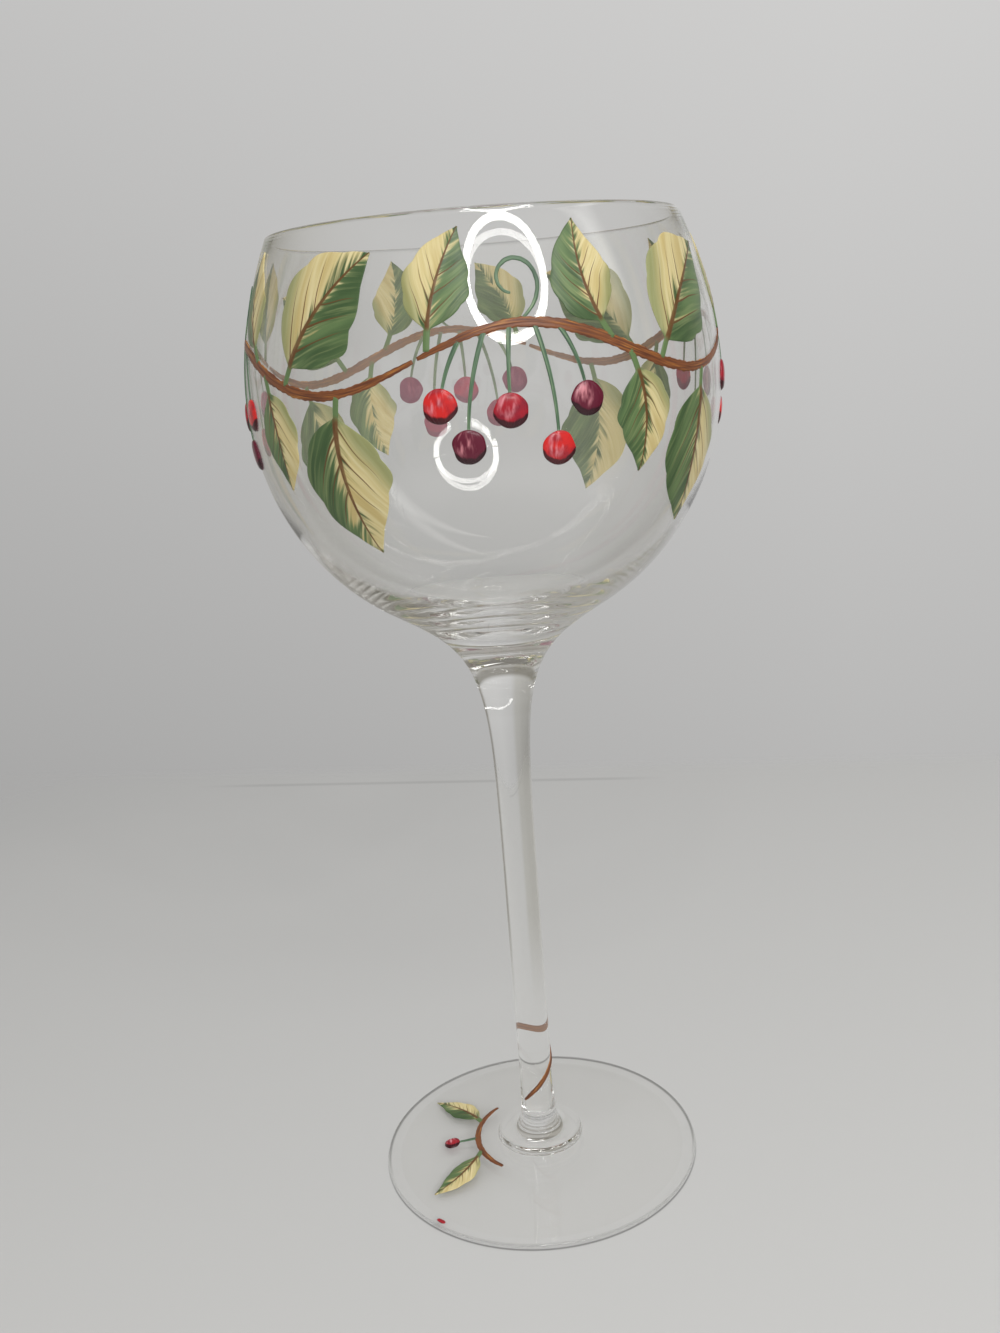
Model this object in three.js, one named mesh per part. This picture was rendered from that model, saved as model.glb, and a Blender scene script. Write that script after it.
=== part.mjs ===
// Balloon wine goblet with a painted garland: a thin blown bowl on a drawn stem and a spread foot, fused
// hot, with fired enamel strokes that stand on the glass as a raised film. Millimetres, +Z up, with the
// origin on the table under the middle of the foot. The garland faces every way alike.

import * as THREE from "three";

// Foot: a spread disc that rests on a ring near its edge, with a low hub under the stem
const footRadius = 40.2;
const footEdgeThickness = 1.5;
const footRise = 3;
const footSlope = 1.4;
const footHollow = 1.3;
const footRestWidth = 2.6;
const hubRadius = 10.9;
const hubShoulder = 1.3;
const hubStep = 1.5;
const footJointHeight = 8.5;

// Stem: a drawn rod that flares like a trumpet into the bowl and a little into the foot
const stemLength = 123.5;
const stemRadius = 4.15;
const stemTopFlare = 5.1;
const stemTopFlareLength = 9.4;
const stemBaseFlare = 0.85;
const stemBaseFlareLength = 3.5;

// Bowl, with heights measured from its joint with the stem
const bowlRadius = 52.6;
const bellyHeight = 63.4;
const bellyHandle = 12;
const rimRadius = 44.8;
const rimRise = 34.3;
const rimLean = 24.4;
const rimHandle = 9.5;
const wallThickness = 1;
const rimThickness = 1.3;
const rimInnerLean = 26;
const solidBaseHeight = 11;
const innerFullness = 2.1;
const neckHeight = 15;
const neckRadius = 26.7;
const neckStemHandle = 7;
const neckBowlHandle = 4;

// Enamel film, and the clearance between one stroke and the next
const enamelGap = 0.25;
const enamelThickness = 0.3;
const brushGap = 0.45;

// Garland: its middle line, its repeats and its brown twig
const garlandBelowRim = 27.5;
const garlandRepeats = 4;
const garlandTurn = -0.24;
const twigWave = 5.5;
const twigHalfWidth = 1.1;
const twigTipHalfWidth = 0.35;
const twigCrestPlace = 0.25;

// Berries, leaves and tendrils of the garland
const berryRadius = 3.3;
const berryCrown = 0.7;
const berryStalkLength = 20;
const berryStalkHalfWidth = 0.5;
const largeLeafLength = 29;
const largeLeafHalfWidth = 11;
const smallLeafLength = 20;
const smallLeafHalfWidth = 7;
const leafStalkLength = 4;
const leafStalkHalfWidth = 0.65;
const leafTipHalfWidth = 0.25;
const leafFullness = 0.78;
const leafCentreThickness = 1.2;
const leafEdgeThinning = 0.5;
const leafSway = 6;
const leafSwayStep = 2.4;
const leafSwayStart = 0.6;
const tendrilLength = 25;
const tendrilHalfWidth = 0.45;
const tendrilHeading = 40;
const tendrilCurl = 5.4;

// Sprig on the foot, with its angles seen from above, anticlockwise from +X
const sprigHubClearance = 5.5;
const sprigPlace = 182;
const sprigSpan = 100;
const sprigTwigHalfWidth = 0.75;
const sprigLeafLength = 16;
const sprigLeafHalfWidth = 3.4;
const sprigBerryRadius = 2;
const sprigBerryStalkLength = 4;

// Stroke that winds up the stem, and the dab on the foot's edge
const windStart = 7;
const windRise = 23;
const windTurn = 290;
const windPlace = -50;
const windHalfWidth = 0.75;
const dabPlace = -131;
const dabLength = 2.4;
const dabHalfWidth = 0.5;
const dabEdgeClearance = 0.2;

// Facets
const bowlSteps = 56;
const bowlWallSteps = 11;
const innerWallSteps = 4;
const footSteps = 48;
const stemSteps = 24;
const leafSteps = 8;
const widestFacet = 6;
const berryRings = 5;
const stalkSteps = 4;

const degrees = Math.PI / 180;

const enamelColours = {
  bark: 0x8c5530,
  leafCream: 0xd9c887,
  leafGreen: 0x5d8a62,
  stalkGreen: 0x4f7456,
  berryRed: 0xb3202c,
};

function glassMaterial() {
  return new THREE.MeshStandardMaterial({
    color: 0xe9eeec,
    roughness: 0.05,
    metalness: 0,
    transparent: true,
    opacity: 0.35,
    side: THREE.DoubleSide,
  });
}

function enamelMaterial(color) {
  return new THREE.MeshStandardMaterial({ color, roughness: 0.35, metalness: 0 });
}

// The stem's radius at a height above its foot joint: the rod plus two flares that die away along it
function stemRadiusAt(height) {
  const topFlare = stemTopFlare * Math.exp((height - stemLength) / stemTopFlareLength);
  const baseFlare = stemBaseFlare * Math.exp(-height / stemBaseFlareLength);
  return stemRadius + topFlare + baseFlare;
}

// The foot's upper face outside the hub: it falls from the hub to the edge and levels out on the way
function footTopHeight(radius) {
  const flatRadius = footRadius - footEdgeThickness / 2;
  const share = Math.max(0, (flatRadius - radius) / (flatRadius - hubRadius));
  return footEdgeThickness + footRise * share ** footSlope;
}

// A curve from the rim down to the belly, which leans out from the axis at the rim and stands upright below
function upperWallCurve(rim, lean, bellyRadius) {
  const belly = new THREE.Vector2(bellyRadius, bellyHeight);
  const down = new THREE.Vector2(Math.sin(lean * degrees), -Math.cos(lean * degrees));
  const rimHandlePoint = rim.clone().addScaledVector(down, rimHandle);
  const bellyHandlePoint = new THREE.Vector2(bellyRadius, bellyHeight + bellyHandle);
  return new THREE.CubicBezierCurve(rim, rimHandlePoint, bellyHandlePoint, belly);
}

// The bowl's outer wall from the rim down to the neck: a curve to the belly, then part of a half ellipse
function bowlWallPath() {
  const lowerDepth = (bellyHeight - neckHeight) / Math.sqrt(1 - (neckRadius / bowlRadius) ** 2);
  const neckAngle = -Math.acos(neckRadius / bowlRadius);
  const wall = new THREE.CurvePath();
  wall.add(upperWallCurve(new THREE.Vector2(rimRadius, bellyHeight + rimRise), rimLean, bowlRadius));
  wall.add(new THREE.EllipseCurve(0, bellyHeight, bowlRadius, lowerDepth, 0, neckAngle, true));
  return wall;
}

const bowlWall = bowlWallPath();
const bowlWallLength = bowlWall.getLength();
const garlandPitch = (2 * Math.PI * bowlRadius) / garlandRepeats;

// A solid of revolution about Z from a profile of (radius, height) points that starts and ends on the axis
function turnedGeometry(profile, steps) {
  const geometry = new THREE.LatheGeometry(profile, steps);
  geometry.rotateX(Math.PI / 2);
  return geometry;
}

// Points along an ellipse's quarter from one angle to another, with the ellipse's own middle and half axes
function ellipsePoints(middle, halfAxes, fromAngle, toAngle, steps) {
  const points = [];
  for (let i = 0; i <= steps; i += 1) {
    const angle = THREE.MathUtils.lerp(fromAngle, toAngle, i / steps);
    points.push(
      new THREE.Vector2(middle.x + halfAxes.x * Math.cos(angle), middle.y + halfAxes.y * Math.sin(angle)),
    );
  }
  return points;
}

function footProfile() {
  const edgeRound = footEdgeThickness / 2;
  const restOuter = footRadius - edgeRound;
  const restInner = restOuter - footRestWidth;
  const hollow = [];
  for (const share of [0, 0.35, 0.7]) {
    hollow.push(new THREE.Vector2(restInner * share, footHollow * (1 - share ** 2)));
  }
  const edge = ellipsePoints(
    new THREE.Vector2(restOuter, edgeRound),
    new THREE.Vector2(edgeRound, edgeRound),
    -Math.PI / 2,
    Math.PI / 2,
    5,
  );
  const slope = [];
  for (const share of [0.3, 0.65]) {
    const radius = THREE.MathUtils.lerp(restOuter, hubRadius, share);
    slope.push(new THREE.Vector2(radius, footTopHeight(radius)));
  }
  const hubFoot = footTopHeight(hubRadius);
  const shoulder = ellipsePoints(
    new THREE.Vector2(hubRadius - hubShoulder, hubFoot),
    new THREE.Vector2(hubShoulder, hubStep),
    0,
    Math.PI / 2,
    3,
  );
  const hubTop = hubFoot + hubStep;
  const shoulderRadius = hubRadius - hubShoulder;
  const jointRadius = stemRadiusAt(0);
  const saddle = ellipsePoints(
    new THREE.Vector2(shoulderRadius, footJointHeight),
    new THREE.Vector2(jointRadius - shoulderRadius, hubTop - footJointHeight),
    Math.PI / 2,
    0,
    4,
  );
  return [
    ...hollow,
    new THREE.Vector2(restInner, 0),
    ...edge,
    ...slope,
    ...shoulder,
    ...saddle.slice(1),
    new THREE.Vector2(0, footJointHeight),
  ];
}

// Rings stand closest where a flare curves most, at so many lengths of that flare from its joint
function stemProfile() {
  const baseRings = [0, 0.4, 1, 2.3].map((share) => share * stemBaseFlareLength);
  const topRings = [5.5, 3, 2.1, 1.5, 1, 0.65, 0.3, 0].map((share) => stemLength - share * stemTopFlareLength);
  const wall = [...baseRings, ...topRings].map((height) => new THREE.Vector2(stemRadiusAt(height), height));
  return [new THREE.Vector2(0, 0), ...wall, new THREE.Vector2(0, stemLength)];
}

// The neck runs on from the stem's flare and turns into the bowl's wall with no corner at either end
function neckCurve() {
  const jointRadius = stemRadiusAt(stemLength);
  const flareSlope = stemTopFlare / stemTopFlareLength;
  const start = new THREE.Vector2(jointRadius, 0);
  const end = bowlWall.getPoint(1);
  const wallDirection = bowlWall.getTangent(1);
  const handleAtStem = new THREE.Vector2(flareSlope, 1).multiplyScalar(neckStemHandle).add(start);
  const wallReach = -neckBowlHandle / wallDirection.y;
  const handleAtBowl = end.clone().addScaledVector(wallDirection, wallReach);
  return new THREE.CubicBezierCurve(start, handleAtStem, handleAtBowl, end);
}

function bowlProfile() {
  const neck = neckCurve().getPoints(5);
  const wall = bowlWall.getSpacedPoints(bowlWallSteps).reverse();
  const rimOuter = bowlWall.getPoint(0);
  const rimDirection = bowlWall.getTangent(0).negate();
  const outward = new THREE.Vector2(rimDirection.y, -rimDirection.x);
  const rim = [];
  for (const angle of [45, 90, 135, 180]) {
    const across = (rimThickness / 2) * (Math.cos(angle * degrees) - 1);
    const up = (rimThickness / 2) * Math.sin(angle * degrees);
    rim.push(rimOuter.clone().addScaledVector(outward, across).addScaledVector(rimDirection, up));
  }
  const rimInner = rim[rim.length - 1];
  const innerRadius = bowlRadius - wallThickness;
  const upper = upperWallCurve(rimInner, rimInnerLean, innerRadius).getSpacedPoints(innerWallSteps);
  const innerDepth = bellyHeight - solidBaseHeight;
  const lower = [];
  for (const angle of [14, 28, 42, 55, 67, 78, 90]) {
    const radius = innerRadius * Math.max(0, Math.cos(angle * degrees)) ** (2 / innerFullness);
    const drop = innerDepth * Math.sin(angle * degrees) ** (2 / innerFullness);
    lower.push(new THREE.Vector2(angle === 90 ? 0 : radius, bellyHeight - drop));
  }
  return [new THREE.Vector2(0, 0), ...neck, ...wall.slice(1), ...rim, ...upper.slice(1), ...lower];
}

// Places on the three glass surfaces. Each takes a point of a flat drawing and a lift off the glass, and
// keeps the drawing's left and right as seen from outside.

// x runs round the belly, y is the height along the wall above the garland's middle line
function onBowl(spot, lift) {
  const below = THREE.MathUtils.clamp(garlandBelowRim - spot.y, 0, bowlWallLength);
  const share = below / bowlWallLength;
  const wallPoint = bowlWall.getPointAt(share);
  const direction = bowlWall.getTangentAt(share);
  const radius = wallPoint.x - direction.y * lift;
  const angle = spot.x / bowlRadius;
  const height = wallPoint.y + direction.x * lift;
  return new THREE.Vector3(radius * Math.sin(angle), -radius * Math.cos(angle), height);
}

// x runs round the stem, y is the height above the foot joint
function onStem(spot, lift) {
  const radius = stemRadiusAt(spot.y) + lift;
  const angle = spot.x / stemRadius;
  return new THREE.Vector3(radius * Math.sin(angle), -radius * Math.cos(angle), spot.y);
}

// x and y are the foot's own, seen from above
function onFoot(spot, lift) {
  return new THREE.Vector3(spot.x, spot.y, footTopHeight(spot.length()) + lift);
}

// The point and direction after a distance along an arc that turns by bend over its whole length
function alongArc(start, heading, bend, length, share) {
  const halfTurn = (bend * share) / 2;
  const chord = Math.abs(halfTurn) < 1e-6 ? length * share : (length * share * Math.sin(halfTurn)) / halfTurn;
  const direction = heading + halfTurn;
  return new THREE.Vector2(
    start.x + chord * Math.cos(direction),
    start.y + chord * Math.sin(direction),
  );
}

// A film of enamel on a glass surface. The stroke follows path(share) in the flat drawing, reaches
// halfWidth(share) to each side and has thickness(share, lane) over the gap, with lane from -1 to 1.
function filmGeometry({ path, halfWidth, thickness, surface, stations, lanes }) {
  const positions = [];
  const tiny = 1e-4;
  for (const layer of [0, 1]) {
    for (const share of stations) {
      const middle = path(share);
      const ahead = path(share + tiny).sub(path(share - tiny)).normalize();
      const left = new THREE.Vector2(-ahead.y, ahead.x);
      for (let j = 0; j <= lanes; j += 1) {
        const lane = (2 * j) / lanes - 1;
        const spot = middle.clone().addScaledVector(left, lane * halfWidth(share));
        const lift = enamelGap + layer * thickness(share, lane);
        positions.push(...surface(spot, lift).toArray());
      }
    }
  }
  const rows = stations.length;
  const row = lanes + 1;
  const topStart = rows * row;
  const indices = [];
  const addQuad = (a, b, c, d) => indices.push(a, b, c, a, c, d);
  for (let i = 0; i < rows - 1; i += 1) {
    for (let j = 0; j < lanes; j += 1) {
      const low = i * row + j;
      const high = topStart + low;
      addQuad(high, high + row, high + row + 1, high + 1);
      addQuad(low, low + 1, low + row + 1, low + row);
    }
    const rightLow = i * row;
    const leftLow = rightLow + lanes;
    addQuad(rightLow, rightLow + row, topStart + rightLow + row, topStart + rightLow);
    addQuad(leftLow + row, leftLow, topStart + leftLow, topStart + leftLow + row);
  }
  const lastRow = (rows - 1) * row;
  for (let j = 0; j < lanes; j += 1) {
    addQuad(j + 1, j, topStart + j, topStart + j + 1);
    addQuad(lastRow + j, lastRow + j + 1, topStart + lastRow + j + 1, topStart + lastRow + j);
  }
  const geometry = new THREE.BufferGeometry();
  geometry.setAttribute("position", new THREE.Float32BufferAttribute(positions, 3));
  geometry.setIndex(indices);
  geometry.computeVertexNormals();
  return geometry;
}

function evenStations(steps) {
  return Array.from({ length: steps + 1 }, (_, i) => i / steps);
}

// A plain stroke of the brush, widest in the middle and drawn out at both ends
function strokeGeometry({ path, widest, tip, steps, surface }) {
  return filmGeometry({
    path,
    surface,
    stations: evenStations(steps),
    lanes: 1,
    halfWidth: (share) => tip + (widest - tip) * Math.max(0, Math.sin(Math.PI * share)) ** 0.6,
    thickness: () => enamelThickness,
  });
}

// A leaf with its stalk, in one film that is thickest along the midrib
function leafGeometry({ root, heading, bend, length, halfWidth, stalkLength, stalkHalfWidth, surface }) {
  const whole = stalkLength + length;
  const stalkShare = stalkLength / whole;
  const bladeWidth = (share) => {
    const along = (share - stalkShare) / (1 - stalkShare);
    const body = Math.sin(Math.PI * THREE.MathUtils.clamp(along, 0, 1) ** leafFullness);
    const end = THREE.MathUtils.lerp(stalkHalfWidth, leafTipHalfWidth, along);
    return Math.max(end, halfWidth * body);
  };
  const blade = evenStations(leafSteps).map((share) => stalkShare + (1 - stalkShare) * share);
  return filmGeometry({
    path: (share) => alongArc(root, heading, bend, whole, share),
    surface,
    stations: [0, stalkShare / 2, ...blade],
    lanes: 2 * Math.ceil(halfWidth / widestFacet),
    halfWidth: (share) => (share <= stalkShare ? stalkHalfWidth : bladeWidth(share)),
    thickness: (share, lane) => enamelThickness * (leafCentreThickness - leafEdgeThinning * Math.abs(lane)),
  });
}

// A berry that hangs on its own stalk: a thin stroke that opens into a low round dome
function berryGeometry({ root, heading, bend, stalkLength, radius, stalkHalfWidth, surface }) {
  const whole = stalkLength + 2 * radius;
  const domeStart = stalkLength / whole;
  const fromMiddle = (share) => ((share - domeStart) / (1 - domeStart)) * 2 - 1;
  const roundWidth = (share) => radius * Math.sqrt(Math.max(0, 1 - fromMiddle(share) ** 2));
  const stalk = evenStations(stalkSteps).map((share) => share * domeStart);
  const dome = [];
  for (let i = 1; i <= berryRings; i += 1) {
    const turn = (Math.PI * i) / (berryRings + 0.35);
    dome.push(domeStart + ((1 - domeStart) * (1 - Math.cos(turn))) / 2);
  }
  return filmGeometry({
    path: (share) => alongArc(root, heading, bend, whole, share),
    surface,
    stations: [...stalk, ...dome],
    lanes: 2,
    halfWidth: (share) => Math.max(stalkHalfWidth, share > domeStart ? roundWidth(share) : 0),
    thickness: (share, lane) => {
      const out = share > domeStart ? fromMiddle(share) ** 2 : 1;
      const roundness = Math.sqrt(Math.max(0, (1 - out) * (1 - lane ** 2)));
      return enamelThickness * (1 - 0.3 * lane ** 2) + berryCrown * roundness;
    },
  });
}

// The twig's line in the flat drawing: a gentle wave with one crest and one trough to a repeat
function twigLine(x) {
  return twigWave * Math.cos(2 * Math.PI * (x / garlandPitch - twigCrestPlace));
}

// The root of a motif: just clear of the twig, above it or below it
function twigRoot(repeat, place, side, halfWidth) {
  const x = (repeat + place) * garlandPitch + garlandTurn * bowlRadius;
  const localX = place * garlandPitch;
  const slope = (twigLine(localX + 0.01) - twigLine(localX - 0.01)) / 0.02;
  const square = new THREE.Vector2(-slope, 1).normalize();
  const reach = side * (twigHalfWidth + brushGap + halfWidth * Math.abs(slope));
  return new THREE.Vector2(x, twigLine(localX)).addScaledVector(square, reach);
}

// Where each leaf and berry springs from along a repeat, which way it grows (degrees), and its size
const largeLeaf = { length: largeLeafLength, halfWidth: largeLeafHalfWidth };
const smallLeaf = { length: smallLeafLength, halfWidth: smallLeafHalfWidth };
const leafPlan = [
  { name: "tall", place: 0.615, side: 1, heading: 58, bend: -34, size: largeLeaf },
  { name: "hanging", place: 0.79, side: -1, heading: -106, bend: 28, size: largeLeaf },
  { name: "leaning", place: 0.47, side: 1, heading: 122, bend: -48, size: smallLeaf },
  { name: "small", place: 0.52, side: -1, heading: -70, bend: -36, size: smallLeaf },
  { name: "upper", place: 0.03, side: 1, heading: 84, bend: -30, size: smallLeaf },
];
const berryPlan = [
  { place: 0.1, heading: -122, bend: 30, stalkShare: 0.45 },
  { place: 0.16, heading: -112, bend: 24, stalkShare: 0.9 },
  { place: 0.22, heading: -98, bend: 12, stalkShare: 0.6 },
  { place: 0.28, heading: -74, bend: -18, stalkShare: 1 },
  { place: 0.34, heading: -58, bend: -34, stalkShare: 0.55 },
];

const goblet = new THREE.Group();
goblet.name = "wine_goblet";

function addMesh(parent, name, geometry, material) {
  const mesh = new THREE.Mesh(geometry, material);
  mesh.name = name;
  parent.add(mesh);
  return mesh;
}

// Glass
addMesh(goblet, "foot", turnedGeometry(footProfile(), footSteps), glassMaterial());

const stemGroup = new THREE.Group();
stemGroup.position.z = footJointHeight;
goblet.add(stemGroup);
addMesh(stemGroup, "stem", turnedGeometry(stemProfile(), stemSteps), glassMaterial());

const bowlGroup = new THREE.Group();
bowlGroup.position.z = stemLength;
stemGroup.add(bowlGroup);
addMesh(bowlGroup, "bowl", turnedGeometry(bowlProfile(), bowlSteps), glassMaterial());

// Garland round the bowl
function addTwig(repeat) {
  const start = repeat * garlandPitch + garlandTurn * bowlRadius;
  const run = garlandPitch - 2 * brushGap;
  const geometry = strokeGeometry({
    path: (share) => new THREE.Vector2(start + brushGap + run * share, twigLine(brushGap + run * share)),
    widest: twigHalfWidth,
    tip: twigTipHalfWidth,
    steps: 22,
    surface: onBowl,
  });
  addMesh(bowlGroup, `twig_${repeat + 1}`, geometry, enamelMaterial(enamelColours.bark));
}

function addLeaves(repeat) {
  const sway = leafSway * Math.sin(leafSwayStep * repeat + leafSwayStart);
  for (const plan of leafPlan) {
    const geometry = leafGeometry({
      root: twigRoot(repeat, plan.place, plan.side, leafStalkHalfWidth),
      heading: (plan.heading + sway) * degrees,
      bend: plan.bend * degrees,
      length: plan.size.length,
      halfWidth: plan.size.halfWidth,
      stalkLength: leafStalkLength,
      stalkHalfWidth: leafStalkHalfWidth,
      surface: onBowl,
    });
    const colour = plan.side > 0 ? enamelColours.leafCream : enamelColours.leafGreen;
    addMesh(bowlGroup, `leaf_${plan.name}_${repeat + 1}`, geometry, enamelMaterial(colour));
  }
}

function addBerries(repeat) {
  berryPlan.forEach((plan, index) => {
    const geometry = berryGeometry({
      root: twigRoot(repeat, plan.place, -1, berryStalkHalfWidth),
      heading: plan.heading * degrees,
      bend: plan.bend * degrees,
      stalkLength: berryStalkLength * plan.stalkShare,
      radius: berryRadius,
      stalkHalfWidth: berryStalkHalfWidth,
      surface: onBowl,
    });
    const name = `berry_${repeat + 1}_${index + 1}`;
    addMesh(bowlGroup, name, geometry, enamelMaterial(enamelColours.berryRed));
  });
}

// A tendril starts as an easy arc and winds up ever more tightly towards its end
function addTendril(repeat) {
  const steps = 20;
  const stride = tendrilLength / steps;
  const spots = [twigRoot(repeat, twigCrestPlace, 1, tendrilHalfWidth)];
  for (let i = 0; i < steps; i += 1) {
    const direction = tendrilHeading * degrees + tendrilCurl * ((i + 0.5) / steps) ** 1.6;
    const step = new THREE.Vector2(stride * Math.cos(direction), stride * Math.sin(direction));
    spots.push(spots[i].clone().add(step));
  }
  const line = new THREE.SplineCurve(spots);
  const geometry = strokeGeometry({
    path: (share) => line.getPoint(THREE.MathUtils.clamp(share, 0, 1)),
    widest: tendrilHalfWidth,
    tip: tendrilHalfWidth / 2,
    steps,
    surface: onBowl,
  });
  addMesh(bowlGroup, `tendril_${repeat + 1}`, geometry, enamelMaterial(enamelColours.stalkGreen));
}

for (let repeat = 0; repeat < garlandRepeats; repeat += 1) {
  addTwig(repeat);
  addLeaves(repeat);
  addBerries(repeat);
  addTendril(repeat);
}

// Stroke that winds up the lower end of the stem
function addWindingStroke() {
  const geometry = strokeGeometry({
    path: (share) => {
      const around = (windPlace + windTurn * share) * degrees * stemRadius;
      return new THREE.Vector2(around, windStart + windRise * share);
    },
    widest: windHalfWidth,
    tip: windHalfWidth / 3,
    steps: 24,
    surface: onStem,
  });
  addMesh(stemGroup, "stem_stroke", geometry, enamelMaterial(enamelColours.bark));
}

// A point on the foot at a radius and an angle seen from above
function footSpot(radius, angle) {
  return new THREE.Vector2(radius * Math.cos(angle * degrees), radius * Math.sin(angle * degrees));
}

// Sprig beside the hub: a twig that follows the hub round, with two leaves and a berry on its outer side
function addFootSprig() {
  const twigRadius = hubRadius + sprigHubClearance;
  const outside = twigRadius + sprigTwigHalfWidth + brushGap;
  const twig = strokeGeometry({
    path: (share) => footSpot(twigRadius, sprigPlace + sprigSpan * (share - 0.5)),
    widest: sprigTwigHalfWidth,
    tip: sprigTwigHalfWidth / 2,
    steps: 14,
    surface: onFoot,
  });
  addMesh(goblet, "foot_twig", twig, enamelMaterial(enamelColours.bark));
  const leaves = [
    { name: "foot_leaf_back", angle: sprigPlace - sprigSpan / 4, lean: -38, bend: 30 },
    { name: "foot_leaf_front", angle: sprigPlace + sprigSpan / 5, lean: 42, bend: -30 },
  ];
  for (const leaf of leaves) {
    const geometry = leafGeometry({
      root: footSpot(outside + leafStalkHalfWidth, leaf.angle),
      heading: (leaf.angle + leaf.lean) * degrees,
      bend: leaf.bend * degrees,
      length: sprigLeafLength,
      halfWidth: sprigLeafHalfWidth,
      stalkLength: leafStalkLength / 2,
      stalkHalfWidth: leafStalkHalfWidth,
      surface: onFoot,
    });
    addMesh(goblet, leaf.name, geometry, enamelMaterial(enamelColours.leafGreen));
  }
  const berry = berryGeometry({
    root: footSpot(outside + berryStalkHalfWidth, sprigPlace),
    heading: sprigPlace * degrees,
    bend: 0,
    stalkLength: sprigBerryStalkLength,
    radius: sprigBerryRadius,
    stalkHalfWidth: berryStalkHalfWidth,
    surface: onFoot,
  });
  addMesh(goblet, "foot_berry", berry, enamelMaterial(enamelColours.berryRed));
}

// A short dab of red where the foot's upper face meets its edge
function addFootDab() {
  const radius = footRadius - footEdgeThickness / 2 - dabHalfWidth - dabEdgeClearance;
  const span = dabLength / radius / degrees;
  const geometry = strokeGeometry({
    path: (share) => footSpot(radius, dabPlace + span * (share - 0.5)),
    widest: dabHalfWidth,
    tip: dabHalfWidth / 2,
    steps: 4,
    surface: onFoot,
  });
  addMesh(goblet, "foot_dab", geometry, enamelMaterial(enamelColours.berryRed));
}

addWindingStroke();
addFootSprig();
addFootDab();

export default goblet;
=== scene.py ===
"""Balloon wine goblet with a painted garland, in plain soft studio light.

The goblet is clear glass: a thin blown bowl, a drawn stem and a spread foot. Fired enamel lies on it as
raised films: a waved brown twig round the bowl with two-tone leaves, red berries and green tendrils, a
stroke that winds up the stem, and a small sprig on the foot. Every mesh is worked out in millimetres on
numpy grids, from the few sizes that its class holds, and written to Blender in metres.
"""

from __future__ import annotations

import logging
import math
import zlib
from collections.abc import Callable
from dataclasses import dataclass, field
from enum import Enum
from functools import cache, cached_property

import bpy
import numpy as np
from mathutils import Matrix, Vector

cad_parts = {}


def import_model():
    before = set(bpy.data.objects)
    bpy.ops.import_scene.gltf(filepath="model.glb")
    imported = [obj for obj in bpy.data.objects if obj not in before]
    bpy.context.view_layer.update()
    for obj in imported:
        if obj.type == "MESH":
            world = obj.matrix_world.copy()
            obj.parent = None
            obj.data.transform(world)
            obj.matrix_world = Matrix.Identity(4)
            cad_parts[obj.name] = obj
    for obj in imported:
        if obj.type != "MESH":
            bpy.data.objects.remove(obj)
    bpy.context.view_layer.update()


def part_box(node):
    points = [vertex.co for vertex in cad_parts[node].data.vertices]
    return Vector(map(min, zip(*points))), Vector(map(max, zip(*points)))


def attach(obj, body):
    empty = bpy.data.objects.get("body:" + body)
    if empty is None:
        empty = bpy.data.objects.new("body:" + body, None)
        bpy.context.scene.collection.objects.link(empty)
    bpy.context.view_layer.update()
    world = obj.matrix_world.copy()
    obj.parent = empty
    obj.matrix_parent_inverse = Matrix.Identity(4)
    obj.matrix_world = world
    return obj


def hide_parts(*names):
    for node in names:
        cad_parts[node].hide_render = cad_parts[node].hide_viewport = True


Array = np.ndarray
Numbers = float | np.ndarray
Path = Callable[[Array], Array]
Placing = Callable[[Array, Array, Array], Array]
Width = Callable[[Array], Array]
Relief = Callable[[Array, Array], Array]
Socket = bpy.types.NodeSocket
Colour = tuple[float, float, float, float]
Step = tuple[float, ...]
Scale = tuple[float, float]

log = logging.getLogger("goblet")

METRES = 0.001
TURN = 2 * math.pi
SMALL_STEP = 1e-4
GLASS_IOR = 1.5
ROUND_SEGMENTS = 192
SHADER_SEEDS = 97

# Millimetres
CENTIMETRE = 10
END_RING = 0.02
FILM_EDGE = 0.03
BOX_TOLERANCE = 0.2


class Slot(Enum):
    """The record's material slots."""

    GLASS = "clear_glass"
    BARK = "enamel_bark"
    LEAF = "enamel_leaf"
    BERRY = "enamel_berry"
    STALK = "enamel_stalk"


class Face(Enum):
    """The side of a film of enamel: the one that was painted last, or the one that lies on the glass."""

    FRONT = "front"
    BACK = "back"


class BerryTone(Enum):
    """The reds that the berries are painted in, from light to dark."""

    SCARLET = 0.0
    CRIMSON = 0.5
    MAROON = 1.0


def painted(red: float, green: float, blue: float) -> Colour:
    """Turn a colour as a screen shows it, from 0 to 255, into the linear colour that a shader takes.

    Args:
        red, green, blue: the channels, from 0 to 255.

    Returns:
        Linear red, green and blue from 0 to 1, with full alpha.
    """
    shown = np.array([red, green, blue]) / 255
    linear = np.where(shown <= 0.04045, shown / 12.92, ((shown + 0.055) / 1.055) ** 2.4)
    return (*linear.tolist(), 1.0)


def seed_of(name: str) -> int:
    """Return a whole number that is always the same for a name."""
    return zlib.crc32(name.encode())


# Curves


def bezier(start: Array, start_handle: Array, end_handle: Array, end: Array, steps: int) -> Array:
    """Points on a cubic Bezier curve.

    With t from 0 to 1 and u = 1 - t, a point is u^3 start + 3 u^2 t start_handle + 3 u t^2 end_handle +
    t^3 end.

    Args:
        start, start_handle, end_handle, end: the curve's four points.
        steps: how many equal steps of t.

    Returns:
        steps + 1 points, one to a row.
    """
    t = np.linspace(0, 1, steps + 1)[:, None]
    rest = 1 - t
    return rest**3 * start + 3 * rest**2 * t * start_handle + 3 * rest * t**2 * end_handle + t**3 * end


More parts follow.
